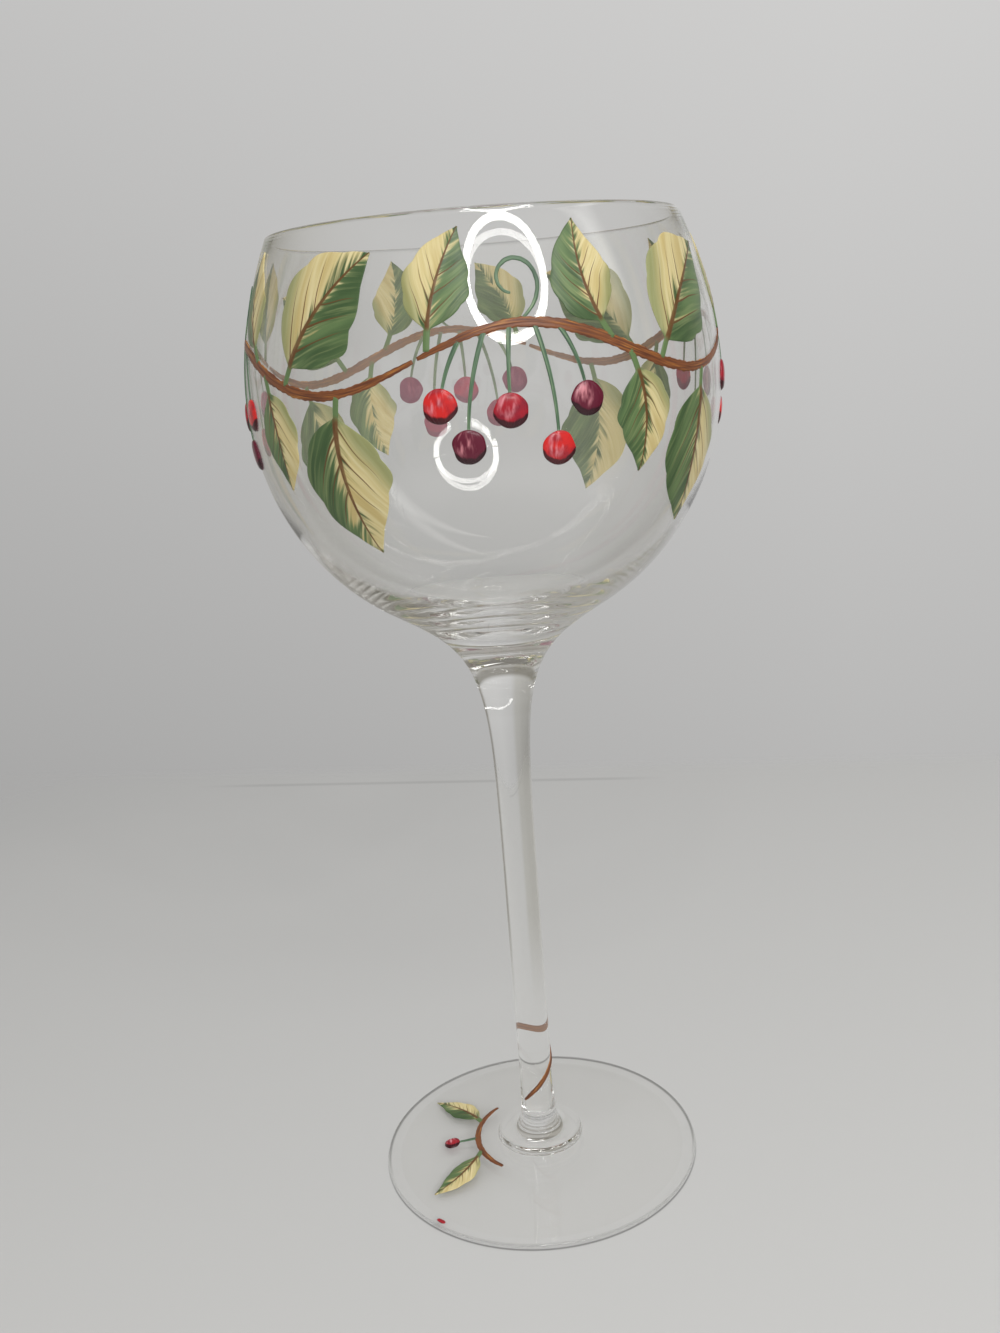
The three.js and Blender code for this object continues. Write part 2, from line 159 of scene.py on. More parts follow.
def ellipse_arc(middle: Array, half_axes: Array, start: float, end: float, steps: int) -> Array:
    """Points on an ellipse: the middle plus (a cos t, b sin t), for t from start to end in radians.

    Args:
        middle: the ellipse's middle.
        half_axes: a and b.
        start, end: the angles that the arc runs between.
        steps: how many equal steps of angle.

    Returns:
        steps + 1 points, one to a row.
    """
    angle = np.linspace(start, end, steps + 1)
    return middle + half_axes * np.stack([np.cos(angle), np.sin(angle)], axis=1)


def along_arc(start: Array, heading: float, bend: float, length: float, shares: Array) -> Array:
    """Points after shares of an arc that turns by bend over its whole length.

    After a share s the arc has turned by 2h, with h = bend s / 2. The chord to that point is
    length s sin(h) / h long and points along heading + h.

    Args:
        start: where the arc starts.
        heading: its direction there, in radians.
        bend: how far it turns over its length, in radians.
        length: its length.
        shares: shares of the length.

    Returns:
        One point for each share.
    """
    half_turn = bend * shares / 2
    chord = length * shares * np.sinc(half_turn / math.pi)
    direction = heading + half_turn
    return start + np.stack([chord * np.cos(direction), chord * np.sin(direction)], axis=-1)


def on_circle(radius: float, angle: Array) -> Array:
    """Points (radius cos t, radius sin t) for angles t in radians."""
    return radius * np.stack([np.cos(angle), np.sin(angle)], axis=-1)


def round_angles(count: int) -> Array:
    """Evenly spaced angles round a whole turn, in radians."""
    return np.arange(count) * TURN / count


def unsteady(shares: Array, seed: int, waves: tuple[float, ...], size: float) -> Array:
    """The slight waver of a hand: a sum of sines, each with its own count of waves and its own phase.

    Args:
        shares: places along the stroke, from 0 to 1.
        seed: picks the phases.
        waves: how many waves each sine has over the stroke.
        size: the largest value of one sine.

    Returns:
        One value for each share.
    """
    phases = np.random.default_rng(seed).uniform(0, TURN, len(waves))
    pairs = zip(waves, phases, strict=True)
    return sum(size * np.sin(TURN * count * shares + phase) for count, phase in pairs)


# Meshes


@dataclass
class MeshPlan:
    """A mesh in the making: its points in millimetres, its faces, and what its points carry."""

    points: Array
    blocks: list[tuple[Array, int, bool]] = field(default_factory=list)
    uv_maps: dict[str, Array] = field(default_factory=dict)
    values: dict[str, float] = field(default_factory=dict)

    def add(self, faces: Array, slot: int = 0, smooth: bool = True) -> None:
        """Add faces.

        Args:
            faces: one face to a row, as the numbers of its points, anticlockwise from outside.
            slot: the material slot that the faces have.
            smooth: whether they are shaded smoothly.
        """
        self.blocks.append((faces, slot, smooth))

    def build(self, name: str, materials: list[bpy.types.Material]) -> bpy.types.Object:
        """Write the mesh to Blender, in metres, as an object at the origin.

        Args:
            name: the object's name.
            materials: the material of each slot.

        Returns:
            The new object.
        """
        blocks, slot_of_block, smooth_of_block = zip(*self.blocks, strict=True)
        counts = [len(faces) for faces in blocks]
        corners = np.concatenate([faces.ravel() for faces in blocks])
        widths = np.repeat([faces.shape[1] for faces in blocks], counts)
        slots = np.repeat(slot_of_block, counts)
        smooth = np.repeat(smooth_of_block, counts)
        starts = np.concatenate([[0], np.cumsum(widths)[:-1]])
        mesh = bpy.data.meshes.new(name)
        mesh.vertices.add(len(self.points))
        mesh.vertices.foreach_set("co", (self.points * METRES).astype(np.float32).ravel())
        mesh.loops.add(len(corners))
        mesh.loops.foreach_set("vertex_index", corners.astype(np.int32))
        mesh.polygons.add(len(widths))
        mesh.polygons.foreach_set("loop_start", starts.astype(np.int32))
        mesh.polygons.foreach_set("material_index", slots.astype(np.int32))
        mesh.polygons.foreach_set("use_smooth", smooth)
        for map_name, spots in self.uv_maps.items():
            layer = mesh.uv_layers.new(name=map_name)
            layer.uv.foreach_set("vector", spots[corners].astype(np.float32).ravel())
        for value_name, value in self.values.items():
            attribute = mesh.attributes.new(value_name, "FLOAT", "POINT")
            attribute.data.foreach_set("value", np.full(len(self.points), value, np.float32))
        for material in materials:
            mesh.materials.append(material)
        mesh.update(calc_edges=True)
        if mesh.validate():
            log.warning("%s had faces that Blender mended", name)
        piece = bpy.data.objects.new(name, mesh)
        bpy.context.scene.collection.objects.link(piece)
        return piece


def turned(profile: Array, seams: tuple[bool, bool]) -> MeshPlan:
    """Turn a profile round the Z axis into a closed solid.

    A profile point (r, z) becomes a ring of points (r cos t, r sin t, z). Its first and last points lie on
    the axis and close the solid with fans.

    Args:
        profile: rows of (radius, height), anticlockwise round the solid's section.
        seams: whether the first and the last fan are flat faces that are fused to a neighbour.

    Returns:
        The mesh, with its fused faces in slot 1.
    """
    rings = profile[1:-1]
    across = rings[:, :1, None] * on_circle(1.0, round_angles(ROUND_SEGMENTS))
    heights = np.broadcast_to(rings[:, 1, None, None], (len(rings), ROUND_SEGMENTS, 1))
    ring_points = np.concatenate([across, heights], axis=2).reshape(-1, 3)
    poles = np.array([[0, 0, profile[0, 1]], [0, 0, profile[-1, 1]]])
    plan = MeshPlan(np.concatenate([ring_points, poles]))
    number = np.arange(len(ring_points)).reshape(len(rings), ROUND_SEGMENTS)
    following = np.roll(number, -1, axis=1)
    walls = np.stack([number[:-1], following[:-1], following[1:], number[1:]], axis=-1)
    plan.add(walls.reshape(-1, 4))
    first_pole = np.full(ROUND_SEGMENTS, len(ring_points))
    last_pole = first_pole + 1
    fans = (
        np.stack([first_pole, following[0], number[0]], axis=1),
        np.stack([last_pole, number[-1], following[-1]], axis=1),
    )
    for fan, fused in zip(fans, seams, strict=True):
        plan.add(fan, slot=int(fused), smooth=not fused)
    return plan


# Shader nodes


class Sketch:
    """Adds shader nodes to a tree and joins them. A term is a number, a colour or another node's output."""

    FACTOR, FIRST, SECOND, MIXED = 0, 6, 7, 2

    def __init__(self, tree: bpy.types.NodeTree) -> None:
        """Start with an empty tree."""
        self.tree = tree
        tree.nodes.clear()

    def node(self, kind: str, terms: dict | None = None, **settings: object) -> bpy.types.Node:
        """Add a node.

        Args:
            kind: the node's type.
            terms: what goes into its inputs, by name or number.
            settings: its properties.

        Returns:
            The new node.
        """
        made = self.tree.nodes.new(kind)
        for setting, value in settings.items():
            setattr(made, setting, value)
        for socket, term in (terms or {}).items():
            self.feed(made.inputs[socket], term)
        return made

    def feed(self, socket: Socket, term: object) -> None:
        """Join a term to an input, or set it there if it is a constant."""
        if isinstance(term, Socket):
            self.tree.links.new(term, socket)
        else:
            socket.default_value = term

    def maths(self, operation: str, *terms: object, clamp: bool = False) -> Socket:
        """Return the result of a Math node on the terms."""
        inputs = dict(enumerate(terms))
        return self.node("ShaderNodeMath", inputs, operation=operation, use_clamp=clamp).outputs[0]

    def mix(self, factor: object, first: object, second: object, blend: str = "MIX") -> Socket:
        """Return a colour that goes from first to second as the factor goes from 0 to 1."""
        inputs = {self.FACTOR: factor, self.FIRST: first, self.SECOND: second}
        return self.node("ShaderNodeMix", inputs, data_type="RGBA", blend_type=blend).outputs[self.MIXED]

    def tinted(self, colour: object, tone: object) -> Socket:
        """Return a colour multiplied by another colour or by a number."""
        return self.mix(1.0, colour, tone, blend="MULTIPLY")

    def shaded(self, colour: object, mark: Socket, depth: float) -> Socket:
        """Return a colour that is darker by the share depth where mark is 1."""
        return self.tinted(colour, self.maths("MULTIPLY_ADD", mark, -depth, 1.0))

    def centred(self, share: Socket) -> Socket:
        """Return a share from 0 to 1 as a place from -1 to 1."""
        return self.maths("MULTIPLY_ADD", share, 2.0, -1.0)

    def ramp(self, value: object, low: float, high: float, top: float = 1.0) -> Socket:
        """Return a smooth step, 0 up to low and top past high. A larger low turns the step round."""
        inputs = {"Value": value, "From Min": low, "From Max": high, "To Max": top}
        return self.node("ShaderNodeMapRange", inputs, interpolation_type="SMOOTHSTEP").outputs[0]

    def band(self, value: Socket, start: Step, end: Step) -> Socket:
        """Return 1 between two limits and 0 outside them. Each limit is a short stretch."""
        return self.maths("MULTIPLY", self.ramp(value, *start), self.ramp(value, *end[::-1]))

    def noise(self, x: Socket, y: Socket, z: Socket, scale: Scale, detail: float) -> Socket:
        """Return smooth noise from 0 to 1 at (scale x, scale y, z), with a number of finer layers."""
        across, up = (self.maths("MULTIPLY", place, size) for place, size in zip((x, y), scale, strict=True))
        place = self.node("ShaderNodeCombineXYZ", {0: across, 1: up, 2: z}).outputs[0]
        return self.node("ShaderNodeTexNoise", {"Vector": place, "Scale": 1.0, "Detail": detail}).outputs[0]

    def uv(self, name: str) -> tuple[Socket, Socket]:
        """Return the two coordinates of one of the piece's UV maps."""
        spot = self.node("ShaderNodeUVMap", uv_map=name).outputs[0]
        parts = self.node("ShaderNodeSeparateXYZ", {0: spot})
        return parts.outputs[0], parts.outputs[1]

    def value(self, name: str) -> Socket:
        """Return a value that the piece's points carry."""
        return self.node("ShaderNodeAttribute", attribute_name=name).outputs["Fac"]

    def enamel(self, colour: object, height: Socket, depth: float, roughness: object) -> None:
        """End the tree with glossy enamel that has a fine relief.

        Args:
            colour: the enamel's colour.
            height: the relief's height, from 0 to 1.
            depth: how deep the relief is, in metres.
            roughness: the gloss, from 0 for a mirror.
        """
        bump = self.node("ShaderNodeBump", {"Height": height, "Distance": depth, "Strength": 1.0})
        inputs = {"Base Color": colour, "Roughness": roughness, "IOR": GLASS_IOR, "Normal": bump.outputs[0]}
        shader = self.node("ShaderNodeBsdfPrincipled", inputs)
        self.node("ShaderNodeOutputMaterial", {0: shader.outputs[0]})


def new_material(name: str) -> tuple[bpy.types.Material, Sketch]:
    """Make a material with an empty node tree."""
    material = bpy.data.materials.new(name)
    material.use_nodes = True
    return material, Sketch(material.node_tree)


# Finishes


@dataclass(frozen=True)
class ClearGlass:
    """Clear polished glass. Light that falls on the table or the enamel passes straight through it."""

    tint: Colour = (0.996, 0.996, 0.988, 1.0)
    shade: Colour = (0.99, 0.99, 0.99, 1.0)
    ripple_length: float = 0.016
    ripple_depth: float = 0.000006

    def material(self) -> bpy.types.Material:
        """Return the glass, whose faint ripple follows Object coordinates."""
        material, sketch = new_material("clear_glass")
        place = sketch.node("ShaderNodeTexCoord").outputs["Object"]
        waves = {"Vector": place, "Scale": 1 / self.ripple_length, "Detail": 0.0}
        noise = sketch.node("ShaderNodeTexNoise", waves).outputs[0]
        relief = {"Height": noise, "Distance": self.ripple_depth, "Strength": 1.0}
        glass = sketch.node(
            "ShaderNodeBsdfPrincipled",
            {
                "Base Color": self.tint,
                "Roughness": 0.0,
                "IOR": GLASS_IOR,
                "Transmission Weight": 1.0,
                "Normal": sketch.node("ShaderNodeBump", relief).outputs[0],
            },
        ).outputs[0]
        light_path = sketch.node("ShaderNodeLightPath").outputs
        straight = sketch.node("ShaderNodeBsdfTransparent", {0: self.shade}).outputs[0]
        for ray in ("Is Diffuse Ray", "Is Shadow Ray"):
            shaders = {0: light_path[ray], 1: glass, 2: straight}
            glass = sketch.node("ShaderNodeMixShader", shaders).outputs[0]
        sketch.node("ShaderNodeOutputMaterial", {0: glass})
        return material

    def seam(self) -> bpy.types.Material:
        """Return what a fused face has: nothing, because the glass runs on through it."""
        material, sketch = new_material("fused_seam")
        straight = sketch.node("ShaderNodeBsdfTransparent").outputs[0]
        sketch.node("ShaderNodeOutputMaterial", {0: straight})
        return material


@dataclass(frozen=True)
class LeafEnamel:
    """Two-tone leaf enamel: cream yellow and green that meet along the midrib, with fine brown veins.

    The map "leaf" has the distance along the midline and across it, both as shares of the blade's length,
    with 0 at the blade's base. The map "film" has the shares along and across the film. The veins are the
    lines on which along - vein_sweep side - vein_curl side^2 is constant, with side the distance from the
    midrib.
    """

    cream: Colour = painted(212, 195, 137)
    cream_light: Colour = painted(225, 212, 162)
    cream_deep: Colour = painted(190, 166, 100)
    green: Colour = painted(97, 123, 76)
    green_dark: Colour = painted(64, 90, 53)
    green_light: Colour = painted(142, 156, 104)
    vein: Colour = painted(104, 62, 26)
    faded: Colour = painted(188, 184, 166)
    fading: float = 0.16
    waver_scale: Scale = (4.0, 4.0)
    streak_scale: Scale = (26.0, 4.0)
    patch_scale: Scale = (6.0, 3.5)
    side_shift: float = 3.7
    green_patches: Step = (0.32, 0.68)
    green_strokes: Step = (0.42, 0.78, 0.6)
    green_rim: Step = (0.6, 1.0, 0.35)
    cream_strokes: Step = (0.3, 0.75)
    cream_patches: Step = (0.45, 0.75, 0.6)
    cream_base: Step = (0.2, -0.15, 0.65)
    stalk_end: Step = (0.06, -0.02)
    vein_first: float = 0.04
    vein_spacing: float = 0.19
    vein_count: int = 3
    vein_sweep: float = 1.2
    vein_curl: float = 0.9
    vein_offset: float = 0.07
    vein_waver: float = 0.07
    vein_half_width: float = 0.0135
    vein_tip_half_width: float = 0.003
    vein_thinning: float = 0.22
    vein_reach: Step = (0.85, -0.2)
    vein_edge: Step = (1.7, 0.5)
    vein_end: Step = (0.9, 0.5)
    vein_paint: Step = (0.2, 0.6, 0.3)
    vein_least: float = 0.65
    vein_height: float = 0.6
    midrib_half_width: float = 0.026
    midrib_tip_half_width: float = 0.004
    midrib_edge: Step = (1.35, 0.7)
    midrib_start: Step = (-0.03, 0.03)
    blend_half_width: float = 0.055
    tongue_length: float = 0.32
    streak_height: float = 0.8
    relief_depth: float = 0.00004
    roughness: float = 0.24
    roughness_range: float = 0.2
    back_roughness: float = 0.5

    def vein_places(self, along: Array, across: Array) -> Array:
        """The distance to the nearest side vein's line, measured along the leaf, as a share of its length.

        Args:
            along, across: places on the leaf, as in the map "leaf".

        Returns:
            One distance for each place.
        """
        side = np.abs(across)
        offset = np.where(across < 0, self.vein_offset, 0.0)
        place = along - self.vein_sweep * side - self.vein_curl * side**2 - self.vein_first - offset
        number = np.clip(np.round(place / self.vein_spacing), 0, self.vein_count - 1)
        return np.abs(place - number * self.vein_spacing)

    def tones(
        self, sketch: Sketch, streak: Socket, patch: Socket, rim: Socket, swept: Socket
    ) -> tuple[Socket, Socket]:
        """The green and the cream, each with its brush marks.

        The green has dark patches, light strokes and a darker rim. The cream has light strokes and deep
        patches, and is green at the leaf's base.

        Args:
            sketch: the node tree.
            streak, patch: fine and coarse brush marks.
            rim: 0 in the middle of the film and 1 at its edges.
            swept: the place along the leaf, measured along the veins' lines.

        Returns:
            The green and the cream.
        """
        green = sketch.mix(sketch.ramp(patch, *self.green_patches), self.green_dark, self.green)
        green = sketch.mix(sketch.ramp(streak, *self.green_strokes), green, self.green_light)
        green = sketch.mix(sketch.ramp(rim, *self.green_rim), green, self.green_dark)
        cream = sketch.mix(sketch.ramp(streak, *self.cream_strokes), self.cream, self.cream_light)
        cream = sketch.mix(sketch.ramp(patch, *self.cream_patches), cream, self.cream_deep)
        return green, sketch.mix(sketch.ramp(swept, *self.cream_base), cream, self.green)

    def side_veins(self, sketch: Sketch, across: Socket, swept: Socket, rim: Socket) -> Socket:
        """The side veins, which get thinner outwards and from the base to the tip.

        Args:
            sketch: the node tree.
            across: the place across the leaf.
            swept: the place along the leaf, measured along the veins' lines.
            rim: 0 in the middle of the film and 1 at its edges.

        Returns:
            1 on a vein and 0 beside it.
        """
        maths = sketch.maths
        offset = maths("MULTIPLY", maths("LESS_THAN", across, 0.0), self.vein_offset)
        place = maths("SUBTRACT", maths("SUBTRACT", swept, self.vein_first), offset)
        number = maths("ROUND", maths("DIVIDE", place, self.vein_spacing))
        number = maths("MINIMUM", maths("MAXIMUM", number, 0.0), float(self.vein_count - 1))
        gap = maths("ABSOLUTE", maths("MULTIPLY_ADD", number, -self.vein_spacing, place))
        thinner = maths("MULTIPLY_ADD", number, -self.vein_thinning, 1.0)
        reach = maths("MULTIPLY", sketch.ramp(rim, *self.vein_reach), thinner)
        swell = self.vein_half_width - self.vein_tip_half_width
        width = maths("MULTIPLY_ADD", reach, swell, self.vein_tip_half_width)
        vein = sketch.ramp(maths("DIVIDE", gap, width), *self.vein_edge)
        return maths("MULTIPLY", vein, sketch.ramp(rim, *self.vein_end))

    def midrib(self, sketch: Sketch, along: Socket, side: Socket, film_along: Socket) -> Socket:
        """The midrib, which tapers to the tip.

        Args:
            sketch: the node tree.
            along, side: the places along the leaf and away from its midline.
            film_along: the share along the film.

        Returns:
            1 on the midrib and 0 beside it.
        """
        taper = self.midrib_tip_half_width - self.midrib_half_width
        width = sketch.maths("MULTIPLY_ADD", film_along, taper, self.midrib_half_width)
        rib = sketch.ramp(sketch.maths("DIVIDE", side, width), *self.midrib_edge)
        return sketch.maths("MULTIPLY", rib, sketch.ramp(along, *self.midrib_start))

    def material(self, face: Face) -> bpy.types.Material:
        """Make the enamel for one side of the film.

        Args:
            face: which side. The back has no veins, and is a little faded.

        Returns:
            The material.
        """
        material, sketch = new_material(f"enamel_leaf_{face.value}")
        maths = sketch.maths
        along, across = sketch.uv("leaf")
        film_along, film_across = sketch.uv("film")
        seed = sketch.value("seed")
        side = maths("ABSOLUTE", across)
        rim = maths("ABSOLUTE", sketch.centred(film_across))
        sweep = maths("MULTIPLY_ADD", side, self.vein_curl, self.vein_sweep)
        waver = sketch.noise(along, across, seed, self.waver_scale, 0.0)
        swept = maths("SUBTRACT", along, maths("MULTIPLY", side, sweep))
        swept = maths("MULTIPLY_ADD", maths("SUBTRACT", waver, 0.5), self.vein_waver, swept)
        side_seed = maths("MULTIPLY_ADD", maths("SIGN", across), self.side_shift, seed)
        streak = sketch.noise(swept, side, side_seed, self.streak_scale, 3.0)
        patch = sketch.noise(swept, side, side_seed, self.patch_scale, 1.0)

        shift = sketch.value("shift")
        tongues = maths("MULTIPLY_ADD", maths("SUBTRACT", streak, 0.5), self.tongue_length, shift)
        drift = maths("MULTIPLY", maths("SUBTRACT", patch, 0.5), self.tongue_length)
        edge = maths("MULTIPLY", across, sketch.value("upper"))
        edge = maths("ADD", edge, maths("ADD", tongues, drift))
        blend = sketch.ramp(edge, -self.blend_half_width, self.blend_half_width)
        colour = sketch.mix(blend, *self.tones(sketch, streak, patch, rim, swept))
        colour = sketch.mix(sketch.ramp(along, *self.stalk_end), colour, self.green)
        if face is Face.BACK:
            colour = sketch.mix(self.fading, colour, self.faded)
            sketch.enamel(colour, streak, self.relief_depth / 2, self.back_roughness)
            return material

        side_veins = self.side_veins(sketch, across, swept, rim)
        veins = maths("MAXIMUM", side_veins, self.midrib(sketch, along, side, film_along))
        pressure = maths("ADD", sketch.ramp(streak, *self.vein_paint), self.vein_least)
        colour = sketch.mix(maths("MULTIPLY", veins, pressure), colour, self.vein)
        height = maths("MULTIPLY", streak, self.streak_height)
        height = maths("MULTIPLY_ADD", veins, self.vein_height, height)
        roughness = maths("MULTIPLY_ADD", patch, self.roughness_range, self.roughness)
        sketch.enamel(colour, height, self.relief_depth, roughness)
        return material


@dataclass(frozen=True)
class BerryEnamel:
    """Red berry enamel with pale strokes of light at the upper left and a dark crescent underneath.

    The map "disc" has the place on the berry, with 0.5 at its middle and a radius of 0.5. The strokes of
    light are bowed like lines on a ball: x / (bow_width - y^2)^0.5 is constant along each.
    """

    scarlet: Colour = painted(214, 34, 32)
    crimson: Colour = painted(170, 18, 38)
    maroon: Colour = painted(98, 18, 44)
    light: Colour = painted(232, 150, 160)
    shade: Colour = painted(44, 10, 20)
    dusty: Colour = painted(146, 96, 110)
    fading: float = 0.72
    bow_width: float = 1.15
    bow_least: float = 0.1
    streak_scale: Scale = (3.4, 1.0)
    blotch_scale: Scale = (1.4, 1.4)
    light_red: Step = (0.0, 0.5)
    dark_red: Step = (0.5, 1.0)
    deep_blotches: Step = (0.35, 0.7, 0.55)
    light_right: float = -0.28
    light_up: float = 0.25
    light_squash: float = 0.8
    light_spread: Step = (0.5, 0.02)
    light_strokes: Step = (0.4, 0.72)
    light_strength: float = 0.85
    crescent_bend: float = 0.55
    crescent_height: float = -0.62
    crescent_slant: float = 0.8
    crescent_fray: float = 0.2
    crescent_edge: Step = (0.1, -0.06, 0.93)
    light_height: float = 0.8
    streak_height: float = 0.7
    relief_depth: float = 0.00005
    roughness: float = 0.16
    roughness_range: float = 0.2
    back_roughness: float = 0.5

    def lit(self, sketch: Sketch, x: Socket, y: Socket, streak: Socket) -> Socket:
        """The strokes of light at the upper left.

        Args:
            sketch: the node tree.
            x, y: the place on the berry, from -1 to 1.
            streak: the marks of the brush.

        Returns:
            How much light paint there is, from 0 to 1.
        """
        maths = sketch.maths
        right = maths("SUBTRACT", x, self.light_right)
        up = maths("MULTIPLY", maths("SUBTRACT", y, self.light_up), self.light_squash)
        far = maths("ADD", maths("POWER", right, 2.0), maths("POWER", up, 2.0))
        spread = sketch.ramp(far, *self.light_spread)
        return maths("MULTIPLY", spread, sketch.ramp(streak, *self.light_strokes))

    def crescent(self, sketch: Sketch, x: Socket, y: Socket, streak: Socket, blotch: Socket) -> Socket:
        """The dark crescent underneath, with a slanted and frayed upper edge.

        Args:
            sketch: the node tree.
            x, y: the place on the berry, from -1 to 1.
            streak, blotch: fine and coarse marks of the brush.

        Returns:
            How much dark paint there is.
        """
        maths = sketch.maths
        sag = maths("MULTIPLY_ADD", maths("MULTIPLY", x, x), self.crescent_bend, self.crescent_height)
        tilt = maths("MULTIPLY_ADD", blotch, self.crescent_slant, -self.crescent_slant / 2)
        slant = maths("MULTIPLY_ADD", x, tilt, sag)
        fray = maths("MULTIPLY_ADD", streak, self.crescent_fray, -self.crescent_fray / 2)
        over = maths("SUBTRACT", y, maths("SUBTRACT", slant, fray))
        return sketch.ramp(over, *self.crescent_edge)

    def material(self, face: Face) -> bpy.types.Material:
        """Make the enamel for one side of the film.

        Args:
            face: which side. The back is dusty.

        Returns:
            The material.
        """
        material, sketch = new_material(f"enamel_berry_{face.value}")
        maths = sketch.maths
        x, y = (sketch.centred(place) for place in sketch.uv("disc"))
        seed = sketch.value("seed")
        tone = sketch.value("tone")
        bow = maths("MAXIMUM", maths("SUBTRACT", self.bow_width, maths("MULTIPLY", y, y)), self.bow_least)
        bowed = maths("DIVIDE", x, maths("SQRT", bow))
        streak = sketch.noise(bowed, y, seed, self.streak_scale, 2.0)
        blotch = sketch.noise(x, y, seed, self.blotch_scale, 1.0)

        red = sketch.mix(sketch.ramp(tone, *self.light_red), self.scarlet, self.crimson)
        red = sketch.mix(sketch.ramp(tone, *self.dark_red), red, self.maroon)
        red = sketch.mix(sketch.ramp(blotch, *self.deep_blotches), red, self.maroon)
        lit = self.lit(sketch, x, y, streak)
        red = sketch.mix(maths("MULTIPLY", lit, self.light_strength), red, self.light)
        red = sketch.mix(self.crescent(sketch, x, y, streak, blotch), red, self.shade)
        if face is Face.BACK:
            red = sketch.mix(self.fading, red, self.dusty)
            sketch.enamel(red, streak, self.relief_depth / 2, self.back_roughness)
            return material
        height = maths("MULTIPLY_ADD", lit, self.light_height, maths("MULTIPLY", streak, self.streak_height))
        roughness = maths("MULTIPLY_ADD", streak, self.roughness_range, self.roughness)
        sketch.enamel(red, height, self.relief_depth, roughness)
        return material


@dataclass(frozen=True)
class BrushedEnamel:
    """Enamel drawn out by a brush: streaks of a dark and a light tone that run along the stroke.

    The map "stroke" has the distance along the stroke and across it, in centimetres.
    """

    name: str
    middle: Colour
    dark: Colour
    light: Colour
    faded: Colour = painted(186, 178, 164)
    fading: float = 0.3
    streak_scale: Scale = (1.6, 34.0)
    patch_scale: Scale = (1.1, 4.0)
    dark_streaks: Step = (0.3, 0.6)
    light_streaks: Step = (0.5, 0.7)
    light_patches: Step = (0.4, 0.65, 0.85)
    relief_depth: float = 0.00006
    roughness: float = 0.26
    roughness_range: float = 0.2

    def material(self, face: Face) -> bpy.types.Material:
        """Make the enamel for one side of the film.

        Args:
            face: which side. The back is faded.

        Returns:
            The material.
        """
        material, sketch = new_material(f"enamel_{self.name}_{face.value}")
        maths = sketch.maths
        along, across = sketch.uv("stroke")
        seed = sketch.value("seed")
        streak = sketch.noise(along, across, seed, self.streak_scale, 3.0)
        patch = sketch.noise(along, across, seed, self.patch_scale, 1.0)
        colour = sketch.mix(sketch.ramp(streak, *self.dark_streaks), self.dark, self.middle)
        bright = sketch.ramp(patch, *self.light_patches)
        bright = maths("MULTIPLY", bright, sketch.ramp(streak, *self.light_streaks))
        colour = sketch.mix(bright, colour, self.light)
        if face is Face.BACK:
            colour = sketch.mix(self.fading, colour, self.faded)
        roughness = maths("MULTIPLY_ADD", patch, self.roughness_range, self.roughness)
        sketch.enamel(colour, streak, self.relief_depth, roughness)
        return material


LEAF = LeafEnamel()
BERRY = BerryEnamel()
BARK = BrushedEnamel("bark", painted(134, 78, 40), painted(92, 50, 32), painted(196, 134, 58))
STALK = BrushedEnamel("stalk", painted(90, 120, 90), painted(60, 88, 66), painted(150, 170, 134))
RED_DAB = BrushedEnamel("red", painted(176, 22, 38), painted(120, 16, 34), painted(214, 60, 64))


@cache
def enamel_faces(enamel: LeafEnamel | BerryEnamel | BrushedEnamel) -> list[bpy.types.Material]:
    """The materials of an enamel's front and back, made once."""
    return [enamel.material(face) for face in Face]


@cache
def glass_faces() -> list[bpy.types.Material]:
    """The materials of a glass piece, made once: its surface and its fused faces."""
    return [ClearGlass().material(), ClearGlass().seam()]


def set_in_place(piece: bpy.types.Object, node: str) -> None:
    """Let a finished piece stand for its solid, and report it."""
    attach(piece, "root")
    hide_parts(node)
    log.info("%s: %d faces, for %s", piece.name, len(piece.data.polygons), node)


# Glass


